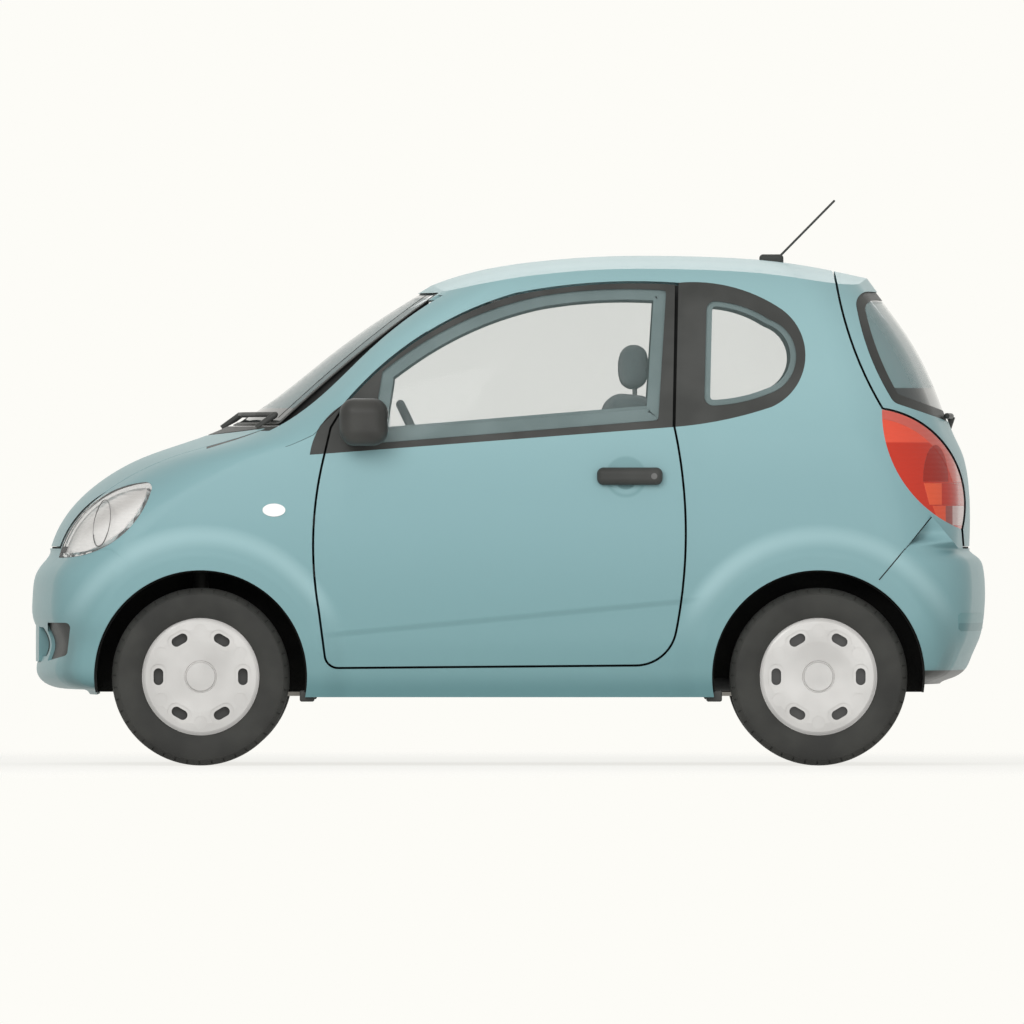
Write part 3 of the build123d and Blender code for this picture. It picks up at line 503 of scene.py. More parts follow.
def piece(name, form, finish, body):
    """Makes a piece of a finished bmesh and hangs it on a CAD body."""
    bmesh.ops.remove_doubles(form, verts=form.verts, dist=THIN)
    bmesh.ops.recalc_face_normals(form, faces=form.faces)
    mesh = bpy.data.meshes.new(name)
    form.to_mesh(mesh)
    form.free()
    for face in mesh.polygons:
        face.use_smooth = True
    mesh.set_sharp_from_angle(angle=SHARP)
    mesh.materials.append(finish.material)
    made = bpy.data.objects.new(name, mesh)
    bpy.context.scene.collection.objects.link(made)
    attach(made, body)
    return made or made


def skin_of(*names):
    """The surface of CAD nodes, to lay pieces on."""
    form = bmesh.new()
    for name in names:
        form.from_mesh(nodes[name].data)
    surface = BVHTree.FromBMesh(form)
    form.free()
    return surface


def patch_of(name, eye, target):
    """The smooth stretch of a CAD node's surface that is seen first from an eye, as its own bmesh."""
    form = bmesh.new()
    form.from_mesh(nodes[name].data)
    bmesh.ops.remove_doubles(form, verts=form.verts, dist=THIN)
    form.faces.ensure_lookup_table()
    look = (Vector(target) - Vector(eye)).normalized()
    first = form.faces[BVHTree.FromBMesh(form).ray_cast(Vector(eye), look)[2]]
    kept, waiting = {first}, [first]
    while waiting:
        for edge in waiting.pop().edges:
            if len(edge.link_faces) == 2 and edge.calc_face_angle() < SHARP:
                fresh = [face for face in edge.link_faces if face not in kept]
                kept.update(fresh)
                waiting.extend(fresh)
    bmesh.ops.delete(form, geom=[face for face in form.faces if face not in kept], context="FACES")
    return form


def edge_points(form, count):
    """Evenly spaced points along the longest edge loop of a patch."""
    open_edges = {edge for edge in form.edges if len(edge.link_faces) == 1}
    longest, longest_length = [], 0
    while open_edges:
        edge = open_edges.pop()
        walk, here = [edge.verts[0].co.copy(), edge.verts[1].co.copy()], edge.verts[1]
        while True:
            onward = [edge for edge in here.link_edges if edge in open_edges]
            if not onward:
                break
            open_edges.remove(onward[0])
            here = onward[0].other_vert(here)
            walk.append(here.co.copy())
        length = sum((b - a).length for a, b in zip(walk, walk[1:]))
        if length > longest_length:
            longest, longest_length = walk, length
    points, gone, index = [], 0.0, 0
    for number in range(count):
        wanted = longest_length * number / count
        while gone + (longest[index + 1] - longest[index]).length < wanted:
            gone += (longest[index + 1] - longest[index]).length
            index += 1
        step = longest[index + 1] - longest[index]
        points.append(longest[index] + step * ((wanted - gone) / max(step.length, THIN)))
    return points


def edge_band(patch, width, height, thickness, count=200):
    """A closed band of this width along the edge of a patch, height above its surface."""
    patch.normal_update()
    surface = BVHTree.FromBMesh(patch)
    outer = edge_points(patch, count)
    patch.free()
    middle = sum(outer, Vector()) / count
    inward = []
    for number, point in enumerate(outer):
        along = outer[(number + 1) % count] - outer[number - 1]
        inward.append(surface.find_nearest(point)[1].cross(along).normalized())
    sign = 1 if sum(way.dot(middle - point) for way, point in zip(inward, outer)) > 0 else -1
    inner = [point + way * (sign * width) for way, point in zip(inward, outer)]
    for _ in range(BAND_SMOOTHINGS):
        before, after = inner[-1:] + inner[:-1], inner[1:] + inner[:1]
        inner = [(first + spot * 2 + last) / 4 for first, spot, last in zip(before, inner, after)]
    foot = height - thickness
    section = ((0, height), (0.5, height), (1, height), (1, foot), (0, foot))
    form = bmesh.new()
    rows = []
    for first, last in zip(outer, inner):
        row = []
        for share, raised in section:
            spot, normal = surface.find_nearest(first.lerp(last, share))[:2]
            row.append(form.verts.new(spot + normal * raised))
        rows.append(row)
    for row, after in zip(rows, rows[1:] + rows[:1]):
        for corners in zip(row, row[1:] + row[:1], after[1:] + after[:1], after):
            form.faces.new(corners)
    return form


def points_in(parts):
    """The vertices among the parts that an operator gives back."""
    return [part for part in parts if isinstance(part, bmesh.types.BMVert)]


def turn(form, angle, axis):
    """Turns a form about an axis through the origin."""
    bmesh.ops.rotate(form, verts=form.verts, matrix=Matrix.Rotation(angle, 3, axis))


def shrink(form, share):
    """Scales a patch towards its middle, by a share along each axis."""
    middle = sum((vert.co for vert in form.verts), Vector()) / len(form.verts)
    bmesh.ops.scale(form, verts=form.verts, vec=share, space=Matrix.Translation(-middle))


def soften(form, edge, segments):
    """Rounds every edge of a form."""
    bmesh.ops.bevel(form, geom=form.edges[:], affect="EDGES", offset=edge, segments=segments, profile=0.5,
                    material=-1)


def lift(form, height):
    """Moves a patch out of its surface by a height."""
    form.normal_update()
    moves = [(vert, vert.normal * height) for vert in form.verts]
    for vert, move in moves:
        vert.co += move


def thicken(form, thickness):
    """Gives a patch this thickness behind its face."""
    form.normal_update()
    moves = {tuple(vert.co): vert.normal * thickness for vert in form.verts}
    pushed = bmesh.ops.extrude_face_region(form, geom=form.faces[:], use_keep_orig=True)["geom"]
    for vert in points_in(pushed):
        vert.co -= moves[tuple(vert.co)]


def push(form, way):
    """Makes a flat form solid by pushing a copy of it this way."""
    pushed = bmesh.ops.extrude_face_region(form, geom=form.faces[:], use_keep_orig=True)["geom"]
    bmesh.ops.translate(form, verts=points_in(pushed), vec=way)


def settle(form, surface, towards, height):
    """Lays a flat form on a surface, each point going along towards, and lifts it by height."""
    towards = Vector(towards)
    for vert in form.verts:
        spot = surface.ray_cast(vert.co - towards * FAR_OFF, towards)[0]
        if spot is None:
            spot = surface.find_nearest(vert.co)[0]
        vert.co = spot
    form.normal_update()
    if sum(face.normal.dot(towards) * face.calc_area() for face in form.faces) > 0:
        bmesh.ops.reverse_faces(form, faces=form.faces[:])
    lift(form, height)


def oval(across, up, rings, segments=48):
    """A filled oval in the side view, with rings of faces to bend by."""
    form = bmesh.new()
    bmesh.ops.create_circle(form, cap_ends=True, radius=1, segments=segments)
    turn(form, QUARTER_TURN, "X")
    bmesh.ops.scale(form, verts=form.verts, vec=(across, 1, up))
    for _ in range(rings):
        bmesh.ops.inset_region(form, faces=[middle_face(form)], thickness=min(across, up) / (rings + 1),
                               use_boundary=True)
    return form


def middle_face(form):
    """The face inside the rings of an oval, which has the most corners."""
    return max(form.faces, key=lambda face: len(face.verts))


def clipped_plate(width, height, clip, columns, rows):
    """A grid in the side view with its four corners clipped, fine enough to bend."""
    form = bmesh.new()
    bmesh.ops.create_grid(form, x_segments=columns, y_segments=rows, size=0.5)
    bmesh.ops.scale(form, verts=form.verts, vec=(width, height, 1))
    turn(form, QUARTER_TURN, "X")
    for vert in form.verts:
        if abs(vert.co.x) > width / 2 - THIN and abs(vert.co.z) > height / 2 - THIN:
            vert.co.x -= math.copysign(clip, vert.co.x)
            vert.co.z -= math.copysign(clip, vert.co.z)
    return form


def shift(form, place):
    """Moves a form from the origin to its place."""
    bmesh.ops.translate(form, verts=form.verts, vec=place)


def soft_block(low, high, edge, segments=3):
    """A block between two corners with rounded edges."""
    form = bmesh.new()
    bmesh.ops.create_cube(form, size=1)
    low, high = Vector(low), Vector(high)
    bmesh.ops.scale(form, verts=form.verts, vec=high - low)
    shift(form, (low + high) / 2)
    soften(form, edge, segments)
    return form


def wedge(profile, y_low, y_high, edge, segments=4):
    """A side-view outline pushed across the car from y_low to y_high, with rounded edges."""
    form = bmesh.new()
    face = form.faces.new([form.verts.new((x, y_low, z)) for x, z in profile])
    pushed = bmesh.ops.extrude_face_region(form, geom=[face])["geom"]
    bmesh.ops.translate(form, verts=points_in(pushed), vec=(0, y_high - y_low, 0))
    bmesh.ops.recalc_face_normals(form, faces=form.faces)
    soften(form, edge, segments)
    return form


# Tyres: half of the section from bead to the middle of the tread, as radius and distance from
# the mid plane. The rows from SHOULDER to the next carry the short cuts round the shoulder.
TYRE_HALF_SECTION = [
    (0.1810, 0.0580), (0.1835, 0.0670), (0.1925, 0.0715), (0.2060, 0.0745), (0.2280, 0.0770),
    (0.2480, 0.0752), (0.2535, 0.0741), (0.2545, 0.0749), (0.2565, 0.0743), (0.2575, 0.0728),
    (0.2585, 0.0725), (0.2706, 0.0588), (0.2726, 0.0545), (0.2734, 0.0380), (0.2670, 0.0370),
    (0.2670, 0.0310), (0.2737, 0.0300), (0.2739, 0.0040), (0.2675, 0.0034), (0.2675, 0.0000)]
SHOULDER = 10
SHOULDER_CUTS = 44
STEPS_PER_CUT = 5
TYRE_STEPS = STEPS_PER_CUT * SHOULDER_CUTS
CUT_MARGIN = 0.0016
CUT_WALL = 0.0003
CUT_DEPTH = 0.003


def make_tyre(end, side):
    """A road tyre: bulged walls with a rib, three grooves round the tread and cuts in the shoulders."""
    form = bmesh.new()
    half = TYRE_HALF_SECTION
    section = half + [(radius, -out) for radius, out in reversed(half[:-1])]
    points = [form.verts.new((0, out, radius)) for radius, out in section]
    lines = [form.edges.new(ends) for ends in zip(points, points[1:])]
    bmesh.ops.spin(form, geom=points + lines, cent=(0, 0, 0), axis=(0, 1, 0), angle=2 * math.pi,
                   steps=TYRE_STEPS, use_merge=True)
    bmesh.ops.recalc_face_normals(form, faces=form.faces)
    cuts = []
    low, high = half[SHOULDER], half[SHOULDER + 1]
    for face in form.faces:
        spot = face.calc_center_median()
        number = round(math.atan2(spot.x, spot.z) / (2 * math.pi) * TYRE_STEPS - 0.5)
        on_shoulder = high[1] < abs(spot.y) < low[1] and math.hypot(spot.x, spot.z) > low[0]
        if on_shoulder and number % STEPS_PER_CUT == 0:
            cuts.append(face)
    bmesh.ops.inset_individual(form, faces=cuts, thickness=CUT_MARGIN, depth=0)
    bmesh.ops.inset_individual(form, faces=cuts, thickness=CUT_WALL, depth=-CUT_DEPTH)
    shift(form, sum(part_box(f"tyre_{end}_{side}"), Vector()) / 2)
    made = piece(f"road_tyre_{end}_{side}", form, rubber, f"wheel_{end}_{side}")
    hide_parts(f"tyre_{end}_{side}")


for end, side in CORNERS:
    make_tyre(end, side)


# Glass surrounds

# A band's height above the glass and its thickness
SURROUND = (0.003, 0.006)
SEAL = (0.001, 0.0025)

for side, out in SIDES.items():
    glass = patch_of(f"door_glass_{side}", (0.05, out * 0.2, 1.25), (0.05, out, 1.25))
    band = edge_band(glass, 0.038, *SURROUND, 260)
    piece(f"door_surround_{side}", band, cabin_trim, f"door_{side}")
    glass = patch_of("quarter_glass", (0.72, out * 0.2, 1.27), (0.72, out, 1.27))
    piece(f"quarter_surround_{side}", edge_band(glass, 0.018, *SURROUND), cabin_trim, "body")

glass = patch_of("windscreen", (-2.0, 0, 1.25), (0, 0, 1.25))
piece("screen_seal", edge_band(glass, 0.016, *SEAL, 320), trim, "body")
glass = patch_of("rear_glass", (2.5, 0, 1.3), (0, 0, 1.3))
piece("rear_glass_seal", edge_band(glass, 0.034, *SEAL, 320), trim, "tailgate")


# Rubber strips behind the shut lines: an arc through three points of the side view, and the depth
# below the skin
SHUT_STRIPS = [
    ("door_post", [(0.488, 0.330), (0.5445, 0.790), (0.515, 1.035)], 0.081),
    ("door_frame", [(0.512, 1.030), (0.516, 1.260), (0.5185, 1.478)], 0.031),
    ("tailgate", [(1.014, 1.445), (1.056, 1.290), (1.140, 1.110)], 0.050)]
STRIP_HALF_WIDTH = 0.018
STRIP_REACH = 0.06
STRIP_THICKNESS = 0.003
# Thin lines on the skin, by their arc, half their width and their height: the black strip beside the
# windscreen and the seam of the rear bumper
SKIN_LINES = [
    ("pillar_strip", [(-0.704, 1.064), (-0.470, 1.271), (-0.244, 1.445)], 0.012, 0.0010),
    ("bumper_seam", [(1.300, 0.766), (1.218, 0.667), (1.138, 0.572)], 0.0018, 0.0004)]
LINE_THICKNESS = 0.002
# The trim behind the foot of the door glass, on the slope of the belt line
BELT_X = -0.426
BELT_Z = 0.991
BELT_SLOPE = 0.0814
FOOT_RISE = 0.022
FOOT_LINE = [(x, BELT_Z + BELT_SLOPE * (x - BELT_X) + FOOT_RISE) for x in (-0.385, 0.03, 0.445)]
FOOT_HALF_WIDTH = 0.028
FOOT_SUNK = 0.008
# The rubbers under the bonnet's nose and the tailgate's foot: which bumper, the way in from that end of
# the car, and how far behind the bumper's face the rubber lies
LID_RUBBERS = [("front", 1, 0.013), ("rear", -1, 0.017)]
LID_RUBBER_HALF_SPAN = 0.42
LID_RUBBER_HALF_WIDTH = 0.007
LID_RUBBER_TOP_Z = 0.6735
LID_RUBBER_DEPTH = 0.020
BUMPER_EDGE_Z = 0.655


def on_arc(points, share):
    """A point on the smooth curve through three points."""
    start, middle, end = (Vector(point) for point in points)
    return (start * (1 - share) * (1 - 2 * share) + middle * 4 * share * (1 - share)
            + end * share * (2 * share - 1))


def arc_strip(points, half_width, out):
    """A flat strip in the side view along the curve through three points."""
    strip = bmesh.new()
    bmesh.ops.create_grid(strip, x_segments=24, y_segments=1, size=1)
    for vert in strip.verts:
        share = (vert.co.x + 1) / 2
        along = (on_arc(points, share + 0.01) - on_arc(points, share - 0.01)).normalized()
        spot = on_arc(points, share) + Vector((along.y, -along.x)) * vert.co.y * half_width
        vert.co = (spot.x, out, spot.y)
    return strip


for side, out in SIDES.items():
    skin = skin_of(*(f"{stem}_{side}" for stem in ("body_side", "door_panel", "window_frame")),
                   "quarter_frames", "tailgate")
    for name, points, depth in SHUT_STRIPS:
        strip = arc_strip(points, STRIP_HALF_WIDTH, out)
        hits = [skin.ray_cast(vert.co, Vector((0, -out, 0)))[0] for vert in strip.verts]
        depths = [abs(hit.y) if hit else 0 for hit in hits]
        for vert in strip.verts:
            near = [reached for reached, other in zip(depths, strip.verts)
                    if (other.co.xz - vert.co.xz).length < STRIP_REACH]
            vert.co.y = out * (sorted(near)[len(near) * 2 // 3] - depth)
        thicken(strip, STRIP_THICKNESS)
        piece(f"{name}_strip_{side}", strip, rubber_strip, "body")
    skin = skin_of(f"body_side_{side}", f"wing_{side}", "windscreen", "rear_bumper")
    for name, points, half_width, height in SKIN_LINES:
        strip = arc_strip(points, half_width, out)
        settle(strip, skin, (0, -out, 0), height)
        thicken(strip, LINE_THICKNESS)
        piece(f"{name}_{side}", strip, rubber_strip, "body")

for side, out in SIDES.items():
    strip = arc_strip(FOOT_LINE, FOOT_HALF_WIDTH, out)
    settle(strip, skin_of(f"door_glass_{side}"), (0, -out, 0), -FOOT_SUNK)
    thicken(strip, LINE_THICKNESS)
    piece(f"window_foot_{side}", strip, cabin_trim, f"door_{side}")

for end, way, behind in LID_RUBBERS:
    bumper = skin_of(f"{end}_bumper")
    strip = bmesh.new()
    bmesh.ops.create_grid(strip, x_segments=32, y_segments=1, size=1)
    for vert in strip.verts:
        y = vert.co.x * LID_RUBBER_HALF_SPAN
        edge = bumper.ray_cast(Vector((-FAR_OFF * way, y, BUMPER_EDGE_Z)), Vector((way, 0, 0)))[0]
        x = edge.x + way * (behind + LID_RUBBER_HALF_WIDTH * vert.co.y)
        vert.co = (x, y, LID_RUBBER_TOP_Z)
    push(strip, (0, 0, -LID_RUBBER_DEPTH))
    piece(f"lid_rubber_{end}", strip, rubber_strip, "body")


# Lamps

BOWL_SUNK = 0.013
BOWL_SHARE = (0.95, 0.95, 0.95)
BOWL_THICKNESS = 0.004
# The bands round a headlamp, by their finish, width and height above the lens
LAMP_BANDS = [("rim", lamp_rim, 0.012, 0.0006), ("gasket", trim, 0.004, 0.0012)]
LAMP_BAND_THICKNESS = 0.002
LEAF_TURN = math.radians(9)
LEAF_X = -1.254
LEAF_Z = 0.746

for side, out in SIDES.items():
    lamp_eye, lamp_middle = (-1.75, out * 1.5, 1.15), (-1.25, out * 0.62, 0.765)
    bowl = patch_of("headlamps", lamp_eye, lamp_middle)
    lift(bowl, -BOWL_SUNK)
    shrink(bowl, BOWL_SHARE)
    thicken(bowl, BOWL_THICKNESS)
    piece(f"headlamp_bowl_{side}", bowl, lamp_silver, "body")
    for name, finish, width, height in LAMP_BANDS:
        rim = edge_band(patch_of("headlamps", lamp_eye, lamp_middle), width, height, LAMP_BAND_THICKNESS)
        piece(f"headlamp_{name}_{side}", rim, finish, "body")
    leaf = oval(0.025, 0.074, 0)
    turn(leaf, LEAF_TURN, "Y")
    shift(leaf, (LEAF_X, out, LEAF_Z))
    settle(leaf, skin_of("headlamps"), (0, -out, 0), 0)
    leaf = edge_band(leaf, 0.0030, 0.0016, LAMP_BAND_THICKNESS, 120)
    piece(f"headlamp_leaf_{side}", leaf, leaf_rim, "body")


# Mirrors, locks, plates of painted recess shade, flaps and the bumper's bridge

MIRROR_OUT = 0.006
LOCK_R = 0.0095
LOCK_INSET = 0.026
# Where the plates of painted recess shade sit on the rear bumper.
RECESS_SHADE_X = 1.424
RECESS_SHADE_Z = 0.442
# The flaps at both ends of a sill, by where they begin and end
SILL_FLAPS = [("front", -0.645, -0.600), ("rear", 0.607, 0.655)]
FLAP_Y = (0.58, 0.70)
FLAP_Z = (0.197, 0.232)
BRIDGE_BEND_Z = 0.50
BRIDGE_Z = 0.376
BRIDGE_SUNK = 0.011
BRIDGE_DEPTH = 0.036

for side, out in SIDES.items():
    low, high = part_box(f"mirror_{side}")
    face = oval(0.046, 0.042, 4)
    turn(face, QUARTER_TURN, "Z")
    shift(face, (high.x + 0.1, (low.y + high.y) / 2 + out * MIRROR_OUT, (low.z + high.z) / 2))
    settle(face, skin_of(f"mirror_{side}"), (-1, 0, 0), 0.0008)
    thicken(face, 0.002)
    piece(f"mirror_face_{side}", face, mirror_silver, f"door_{side}")
    lock = oval(LOCK_R, LOCK_R, 2, 32)
    low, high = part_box(f"door_handle_{side}")
    shift(lock, (high.x - LOCK_INSET, out, (low.z + high.z) / 2))
    settle(lock, skin_of(f"door_handle_{side}"), (0, -out, 0), 0.0012)
    thicken(lock, 0.003)
    piece(f"door_lock_{side}", lock, leaf_rim, f"door_{side}")
    # A plate of body paint in two tones of painted shade, where the rear bumper has a shallow recess.
    recess_shade = clipped_plate(0.080, 0.056, 0.004, 10, 8)
    shift(recess_shade, (RECESS_SHADE_X, out, RECESS_SHADE_Z))
    settle(recess_shade, skin_of("rear_bumper"), (0, -out, 0), 0.0012)
    thicken(recess_shade, 0.002)
    piece(f"rear_recess_shade_{side}", recess_shade, shaded_paint, "body")
    low_y, high_y = sorted(out * y for y in FLAP_Y)
    for end, low_x, high_x in SILL_FLAPS:
        flap = soft_block((low_x, low_y, FLAP_Z[0]), (high_x, high_y, FLAP_Z[1]), 0.006)
        piece(f"sill_flap_{end}_{side}", flap, trim, "body")

# A painted bridge across the middle of the front bumper's lower opening, bent like the bumper above it
bumper = skin_of("front_bumper")
bridge = clipped_plate(0.53, 0.114, 0.003, 24, 4)
turn(bridge, QUARTER_TURN, "Z")
for vert in bridge.verts:
    edge = bumper.ray_cast(Vector((-FAR_OFF, vert.co.y, BRIDGE_BEND_Z)), Vector((1, 0, 0)))[0]
    vert.co = (edge.x + BRIDGE_SUNK, vert.co.y, BRIDGE_Z + vert.co.z)
push(bridge, (BRIDGE_DEPTH, 0, 0))
piece("bumper_bridge", bridge, paint, "body")


# Cabin

CLOTH_SPACING = 0.012
CLOTH_PRESSURE = 4
CLOTH_MOMENTS = 20


def stuffed(name, form, cap, seams=()):
    """A padded piece: an even skin, blown up as cloth but by no more than cap, with sewn channels."""
    made = piece(name, form, seat_cloth, "body")
    even = made.modifiers.new("even", "REMESH")
    even.mode = "VOXEL"
    even.voxel_size = CLOTH_SPACING
    take_shape(made)
    start = [vert.co.copy() for vert in made.data.vertices]
    cloth = made.modifiers.new("cloth", "CLOTH")
    cloth.settings.use_pressure = True
    cloth.settings.uniform_pressure_force = CLOTH_PRESSURE
    cloth.settings.effector_weights.gravity = 0
    cloth.point_cache.frame_end = CLOTH_MOMENTS
    for moment in range(1, CLOTH_MOMENTS + 1):
        bpy.context.scene.frame_set(moment)
    take_shape(made)
    bpy.context.scene.frame_set(1)
    for vert, begin in zip(made.data.vertices, start):
        move = vert.co - begin
        if move.length > cap:
            vert.co = begin + move * (cap / move.length)
    smooth = made.modifiers.new("smooth", "SUBSURF")
    smooth.levels = smooth.render_levels = 1
    take_shape(made)
    sew(made, seams)
    return made


def take_shape(made):
    """Applies a piece's modifiers to its mesh."""
    bpy.context.view_layer.update()
    shown = made.evaluated_get(bpy.context.evaluated_depsgraph_get())
    mesh = bpy.data.meshes.new_from_object(shown)
    made.modifiers.clear()
    used = made.data
    made.data = mesh
    mesh.name = made.name
    bpy.data.meshes.remove(used)
    for face in mesh.polygons:
        face.use_smooth = True


def sew(made, seams, depth=0.007, width=0.007):
    """Presses sewn channels into a cushion along planes of the given y."""
    normals = [vert.normal.copy() for vert in made.data.vertices]
    for vert, normal in zip(made.data.vertices, normals):
        near = min((abs(vert.co.y - y) for y in seams), default=1)
        if near < 3 * width:
            vert.co -= normal * (depth * math.exp(-(near / width) ** 2))


# Side-view outlines of the cushions, the hood over the instruments and the stack below them
SQUAB = [(-0.135, 0.425), (0.30, 0.405), (0.32, 0.545), (-0.115, 0.565)]
SEAT_REST = [(0.225, 0.46), (0.340, 0.44), (0.450, 1.150), (0.308, 1.164)]
BENCH_SQUAB = [(0.655, 0.40), (0.93, 0.40), (0.93, 0.575), (0.670, 0.585)]
BENCH_REST = [(0.925, 0.50), (1.005, 0.46), (1.098, 1.000), (1.012, 1.022)]
HOOD = [(-0.47, 0.985), (-0.36, 0.980), (-0.352, 1.035), (-0.43, 1.050)]
STACK = [(-0.40, 0.700), (-0.375, 0.720), (-0.318, 0.815), (-0.312, 0.930), (-0.345, 0.955), (-0.40, 0.95)]
SEAT_Y = (0.11, 0.56)
BOLSTER = 0.135
POST_R = 0.006
POST_SPACING = 0.055
BENCH_HALF = 0.45
BENCH_SEAMS = (-0.30, -0.15, 0.0, 0.15, 0.30)
CARD_SHARE = (0.93, 1, 0.92)
ARMREST_Y = (0.625, 0.690)
VENT_R = 0.036
VENT_Z = 0.905

seat_parts = []
for side, out in SIDES.items():
    low_y, high_y = sorted(out * y for y in SEAT_Y)
    middle_y = (low_y + high_y) / 2
    bolsters = (middle_y - BOLSTER, middle_y + BOLSTER)
    squab = wedge(SQUAB, low_y, high_y, 0.045)
    seat_parts.append(stuffed(f"front_squab_{side}", squab, 0.014, bolsters))
    rest = wedge(SEAT_REST, low_y, high_y, 0.040)
    seat_parts.append(stuffed(f"front_rest_{side}", rest, 0.014, bolsters))
    head = soft_block((0.341, middle_y - 0.112, 1.163), (0.427, middle_y + 0.112, 1.297), 0.036, 4)
    seat_parts.append(stuffed(f"headrest_{side}", head, 0.006))
    base = soft_block((-0.06, middle_y - 0.16, 0.312), (0.30, middle_y + 0.16, 0.425), 0.012)
    seat_parts.append(piece(f"seat_frame_{side}", base, trim, "body"))
    for number, offset in enumerate((-POST_SPACING, POST_SPACING)):
        post = bmesh.new()
        bmesh.ops.create_cone(post, cap_ends=True, segments=16, radius1=POST_R, radius2=POST_R, depth=0.10)
        soften(post, 0.001, 2)
        shift(post, (0.389, middle_y + offset, 1.160))
        seat_parts.append(piece(f"headrest_post_{side}_{number}", post, leaf_rim, "body"))
for part in seat_parts:
    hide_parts("front_seats")

squab = wedge(BENCH_SQUAB, -BENCH_HALF, BENCH_HALF, 0.045)
rest = wedge(BENCH_REST, -BENCH_HALF, BENCH_HALF, 0.030)
base = soft_block((0.68, -0.40, 0.309), (0.96, 0.40, 0.42), 0.012)
bench = [stuffed("bench_squab", squab, 0.014, BENCH_SEAMS),
         stuffed("bench_rest", rest, 0.012, BENCH_SEAMS),
         piece("bench_frame", base, trim, "body")]
for part in bench:
    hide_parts("rear_seat")

for side, out in SIDES.items():
    card = patch_of(f"door_panel_{side}", (0.0, out * 0.2, 0.62), (0.0, out, 0.62))
    shrink(card, CARD_SHARE)
    lift(card, 0.001)
    thicken(card, 0.004)
    piece(f"door_card_{side}", card, cabin_trim, f"door_{side}")
    low_y, high_y = sorted(out * y for y in ARMREST_Y)
    rest = soft_block((-0.22, low_y, 0.640), (0.30, high_y, 0.700), 0.018, 4)
    piece(f"door_armrest_{side}", rest, dash_skin, f"door_{side}")

piece("instrument_hood", wedge(HOOD, -0.46, -0.20, 0.016), dash_skin, "body")
piece("centre_stack", wedge(STACK, -0.115, 0.115, 0.010), trim, "body")
dash_face = skin_of("dashboard")
for number, y in enumerate((-0.515, 0.515, -0.175, 0.175)):
    vent = oval(VENT_R, VENT_R, 4, 40)
    bmesh.ops.delete(vent, geom=[middle_face(vent)], context="FACES_ONLY")
    turn(vent, QUARTER_TURN, "Z")
    shift(vent, (0.5, y, VENT_Z))
    settle(vent, dash_face, (-1, 0, 0), 0.001)
    thicken(vent, 0.006)
    piece(f"air_vent_{number}", vent, trim, "body")
floor_cover = soft_block((-0.60, -0.605, 0.3075), (0.60, 0.605, 0.313), 0.0015)
piece("carpet", floor_cover, carpet, "body")


# Stage

AMBIENT = 0.42
FLOOR_R = 8
FLOOR_FADE_R = (2.2, 6.0)
FLOOR_GLOW = 0.80
FLOOR_MATTE = 0.20


def softbox(name, place, aim, size, power):
    """A square studio lamp that faces a point of the car."""
    data = bpy.data.lights.new(name, "AREA")
    data.size = size
    data.energy = power
    lamp = bpy.data.objects.new(name, data)
    lamp.location = place
    lamp.rotation_euler = (Vector(aim) - Vector(place)).to_track_quat("-Z", "Y").to_euler()
    bpy.context.scene.collection.objects.link(lamp)


softbox("key", (-3.0, -8.5, 4.5), (0, 0, 0.7), 5.0, 350)
softbox("fill", (3.0, -9.0, 2.5), (0, 0, 0.6), 6.0, 190)
softbox("back", (1.0, 7.0, 6.0), (0, 0, 0.7), 6.0, 150)


def seen_directly(tree):
    """1 for the rays that show the backdrop itself: straight, mirrored or through glass."""
    path = tree.nodes.new("ShaderNodeLightPath")
    shown = path.outputs["Is Camera Ray"]
    for ray in ("Is Glossy Ray", "Is Transmission Ray"):
        either = tree.nodes.new("ShaderNodeMath")
        either.operation = "MAXIMUM"
        tree.links.new(shown, either.inputs[0])
        tree.links.new(path.outputs[ray], either.inputs[1])
        shown = either.outputs[0]
    return shown


def light_world():
    """An even surround: the backdrop's colour where it is seen, plain white light on the car."""
    world = bpy.data.worlds.new("studio")
    bpy.context.scene.world = world
    world.use_nodes = True
    tree = world.node_tree
    shown = tree.nodes["Background"]
    shown.inputs["Color"].default_value = BACKDROP
    ambient = tree.nodes.new("ShaderNodeBackground")
    ambient.inputs["Color"].default_value = (1, 1, 1, 1)
    ambient.inputs["Strength"].default_value = AMBIENT
    mixed = tree.nodes.new("ShaderNodeMixShader")
    tree.links.new(seen_directly(tree), mixed.inputs[0])
    tree.links.new(ambient.outputs[0], mixed.inputs[1])
    tree.links.new(shown.outputs[0], mixed.inputs[2])
    tree.links.new(mixed.outputs[0], tree.nodes["World Output"].inputs["Surface"])


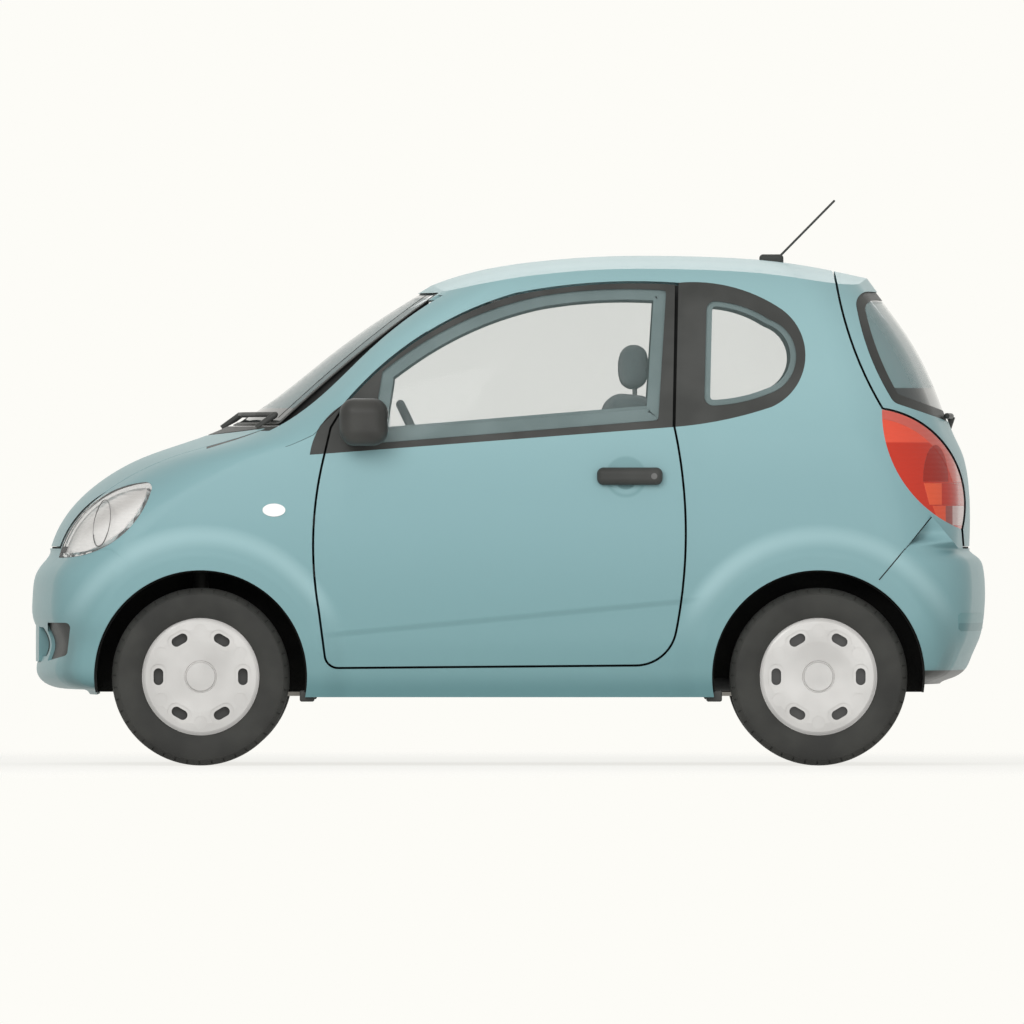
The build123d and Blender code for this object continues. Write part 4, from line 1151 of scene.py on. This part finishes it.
def lay_floor():
    """A pale floor that keeps the car's shadow and fades into the backdrop."""
    form = bmesh.new()
    bmesh.ops.create_circle(form, cap_ends=True, radius=FLOOR_R, segments=96)
    mesh = bpy.data.meshes.new("floor")
    form.to_mesh(mesh)
    form.free()
    floor = bpy.data.objects.new("floor", mesh)
    bpy.context.scene.collection.objects.link(floor)
    finish = Finish("floor_paper", base_color=(0.75, 0.75, 0.74, 1), roughness=0.9)
    tree = finish.tree
    shown = tree.nodes.new("ShaderNodeEmission")
    shown.inputs["Color"].default_value = tuple(FLOOR_GLOW * c for c in BACKDROP[:3]) + (1.0,)
    matte = tree.nodes.new("ShaderNodeBsdfDiffuse")
    matte.inputs["Color"].default_value = (FLOOR_MATTE, FLOOR_MATTE, FLOOR_MATTE, 1)
    lit = tree.nodes.new("ShaderNodeAddShader")
    tree.links.new(shown.outputs[0], lit.inputs[0])
    tree.links.new(matte.outputs[0], lit.inputs[1])
    clear = tree.nodes.new("ShaderNodeBsdfTransparent")
    x, y, z = finish.axes()
    faded = tree.nodes.new("ShaderNodeMixShader")
    tree.links.new(far(x, y).step(*FLOOR_FADE_R).socket, faded.inputs[0])
    tree.links.new(lit.outputs[0], faded.inputs[1])
    tree.links.new(clear.outputs[0], faded.inputs[2])
    mixed = tree.nodes.new("ShaderNodeMixShader")
    tree.links.new(seen_directly(tree), mixed.inputs[0])
    tree.links.new(finish.shader.outputs[0], mixed.inputs[1])
    tree.links.new(faded.outputs[0], mixed.inputs[2])
    tree.links.new(mixed.outputs[0], tree.nodes["Material Output"].inputs["Surface"])
    mesh.materials.append(finish.material)


light_world()
lay_floor()

camera_data = bpy.data.cameras.new("camera")
camera_data.sensor_width = SENSOR
camera_data.lens = SENSOR * VIEW_DISTANCE / (FRAME_PIXELS * PIXEL)
camera_data.clip_start = 1
camera_data.clip_end = 1000
camera = bpy.data.objects.new("camera", camera_data)
camera.location = (VIEW_X, -VIEW_DISTANCE, VIEW_Z)
camera.rotation_euler = (QUARTER_TURN, 0, 0)
bpy.context.scene.collection.objects.link(camera)
bpy.context.scene.camera = camera
bpy.context.scene.view_settings.view_transform = "Standard"
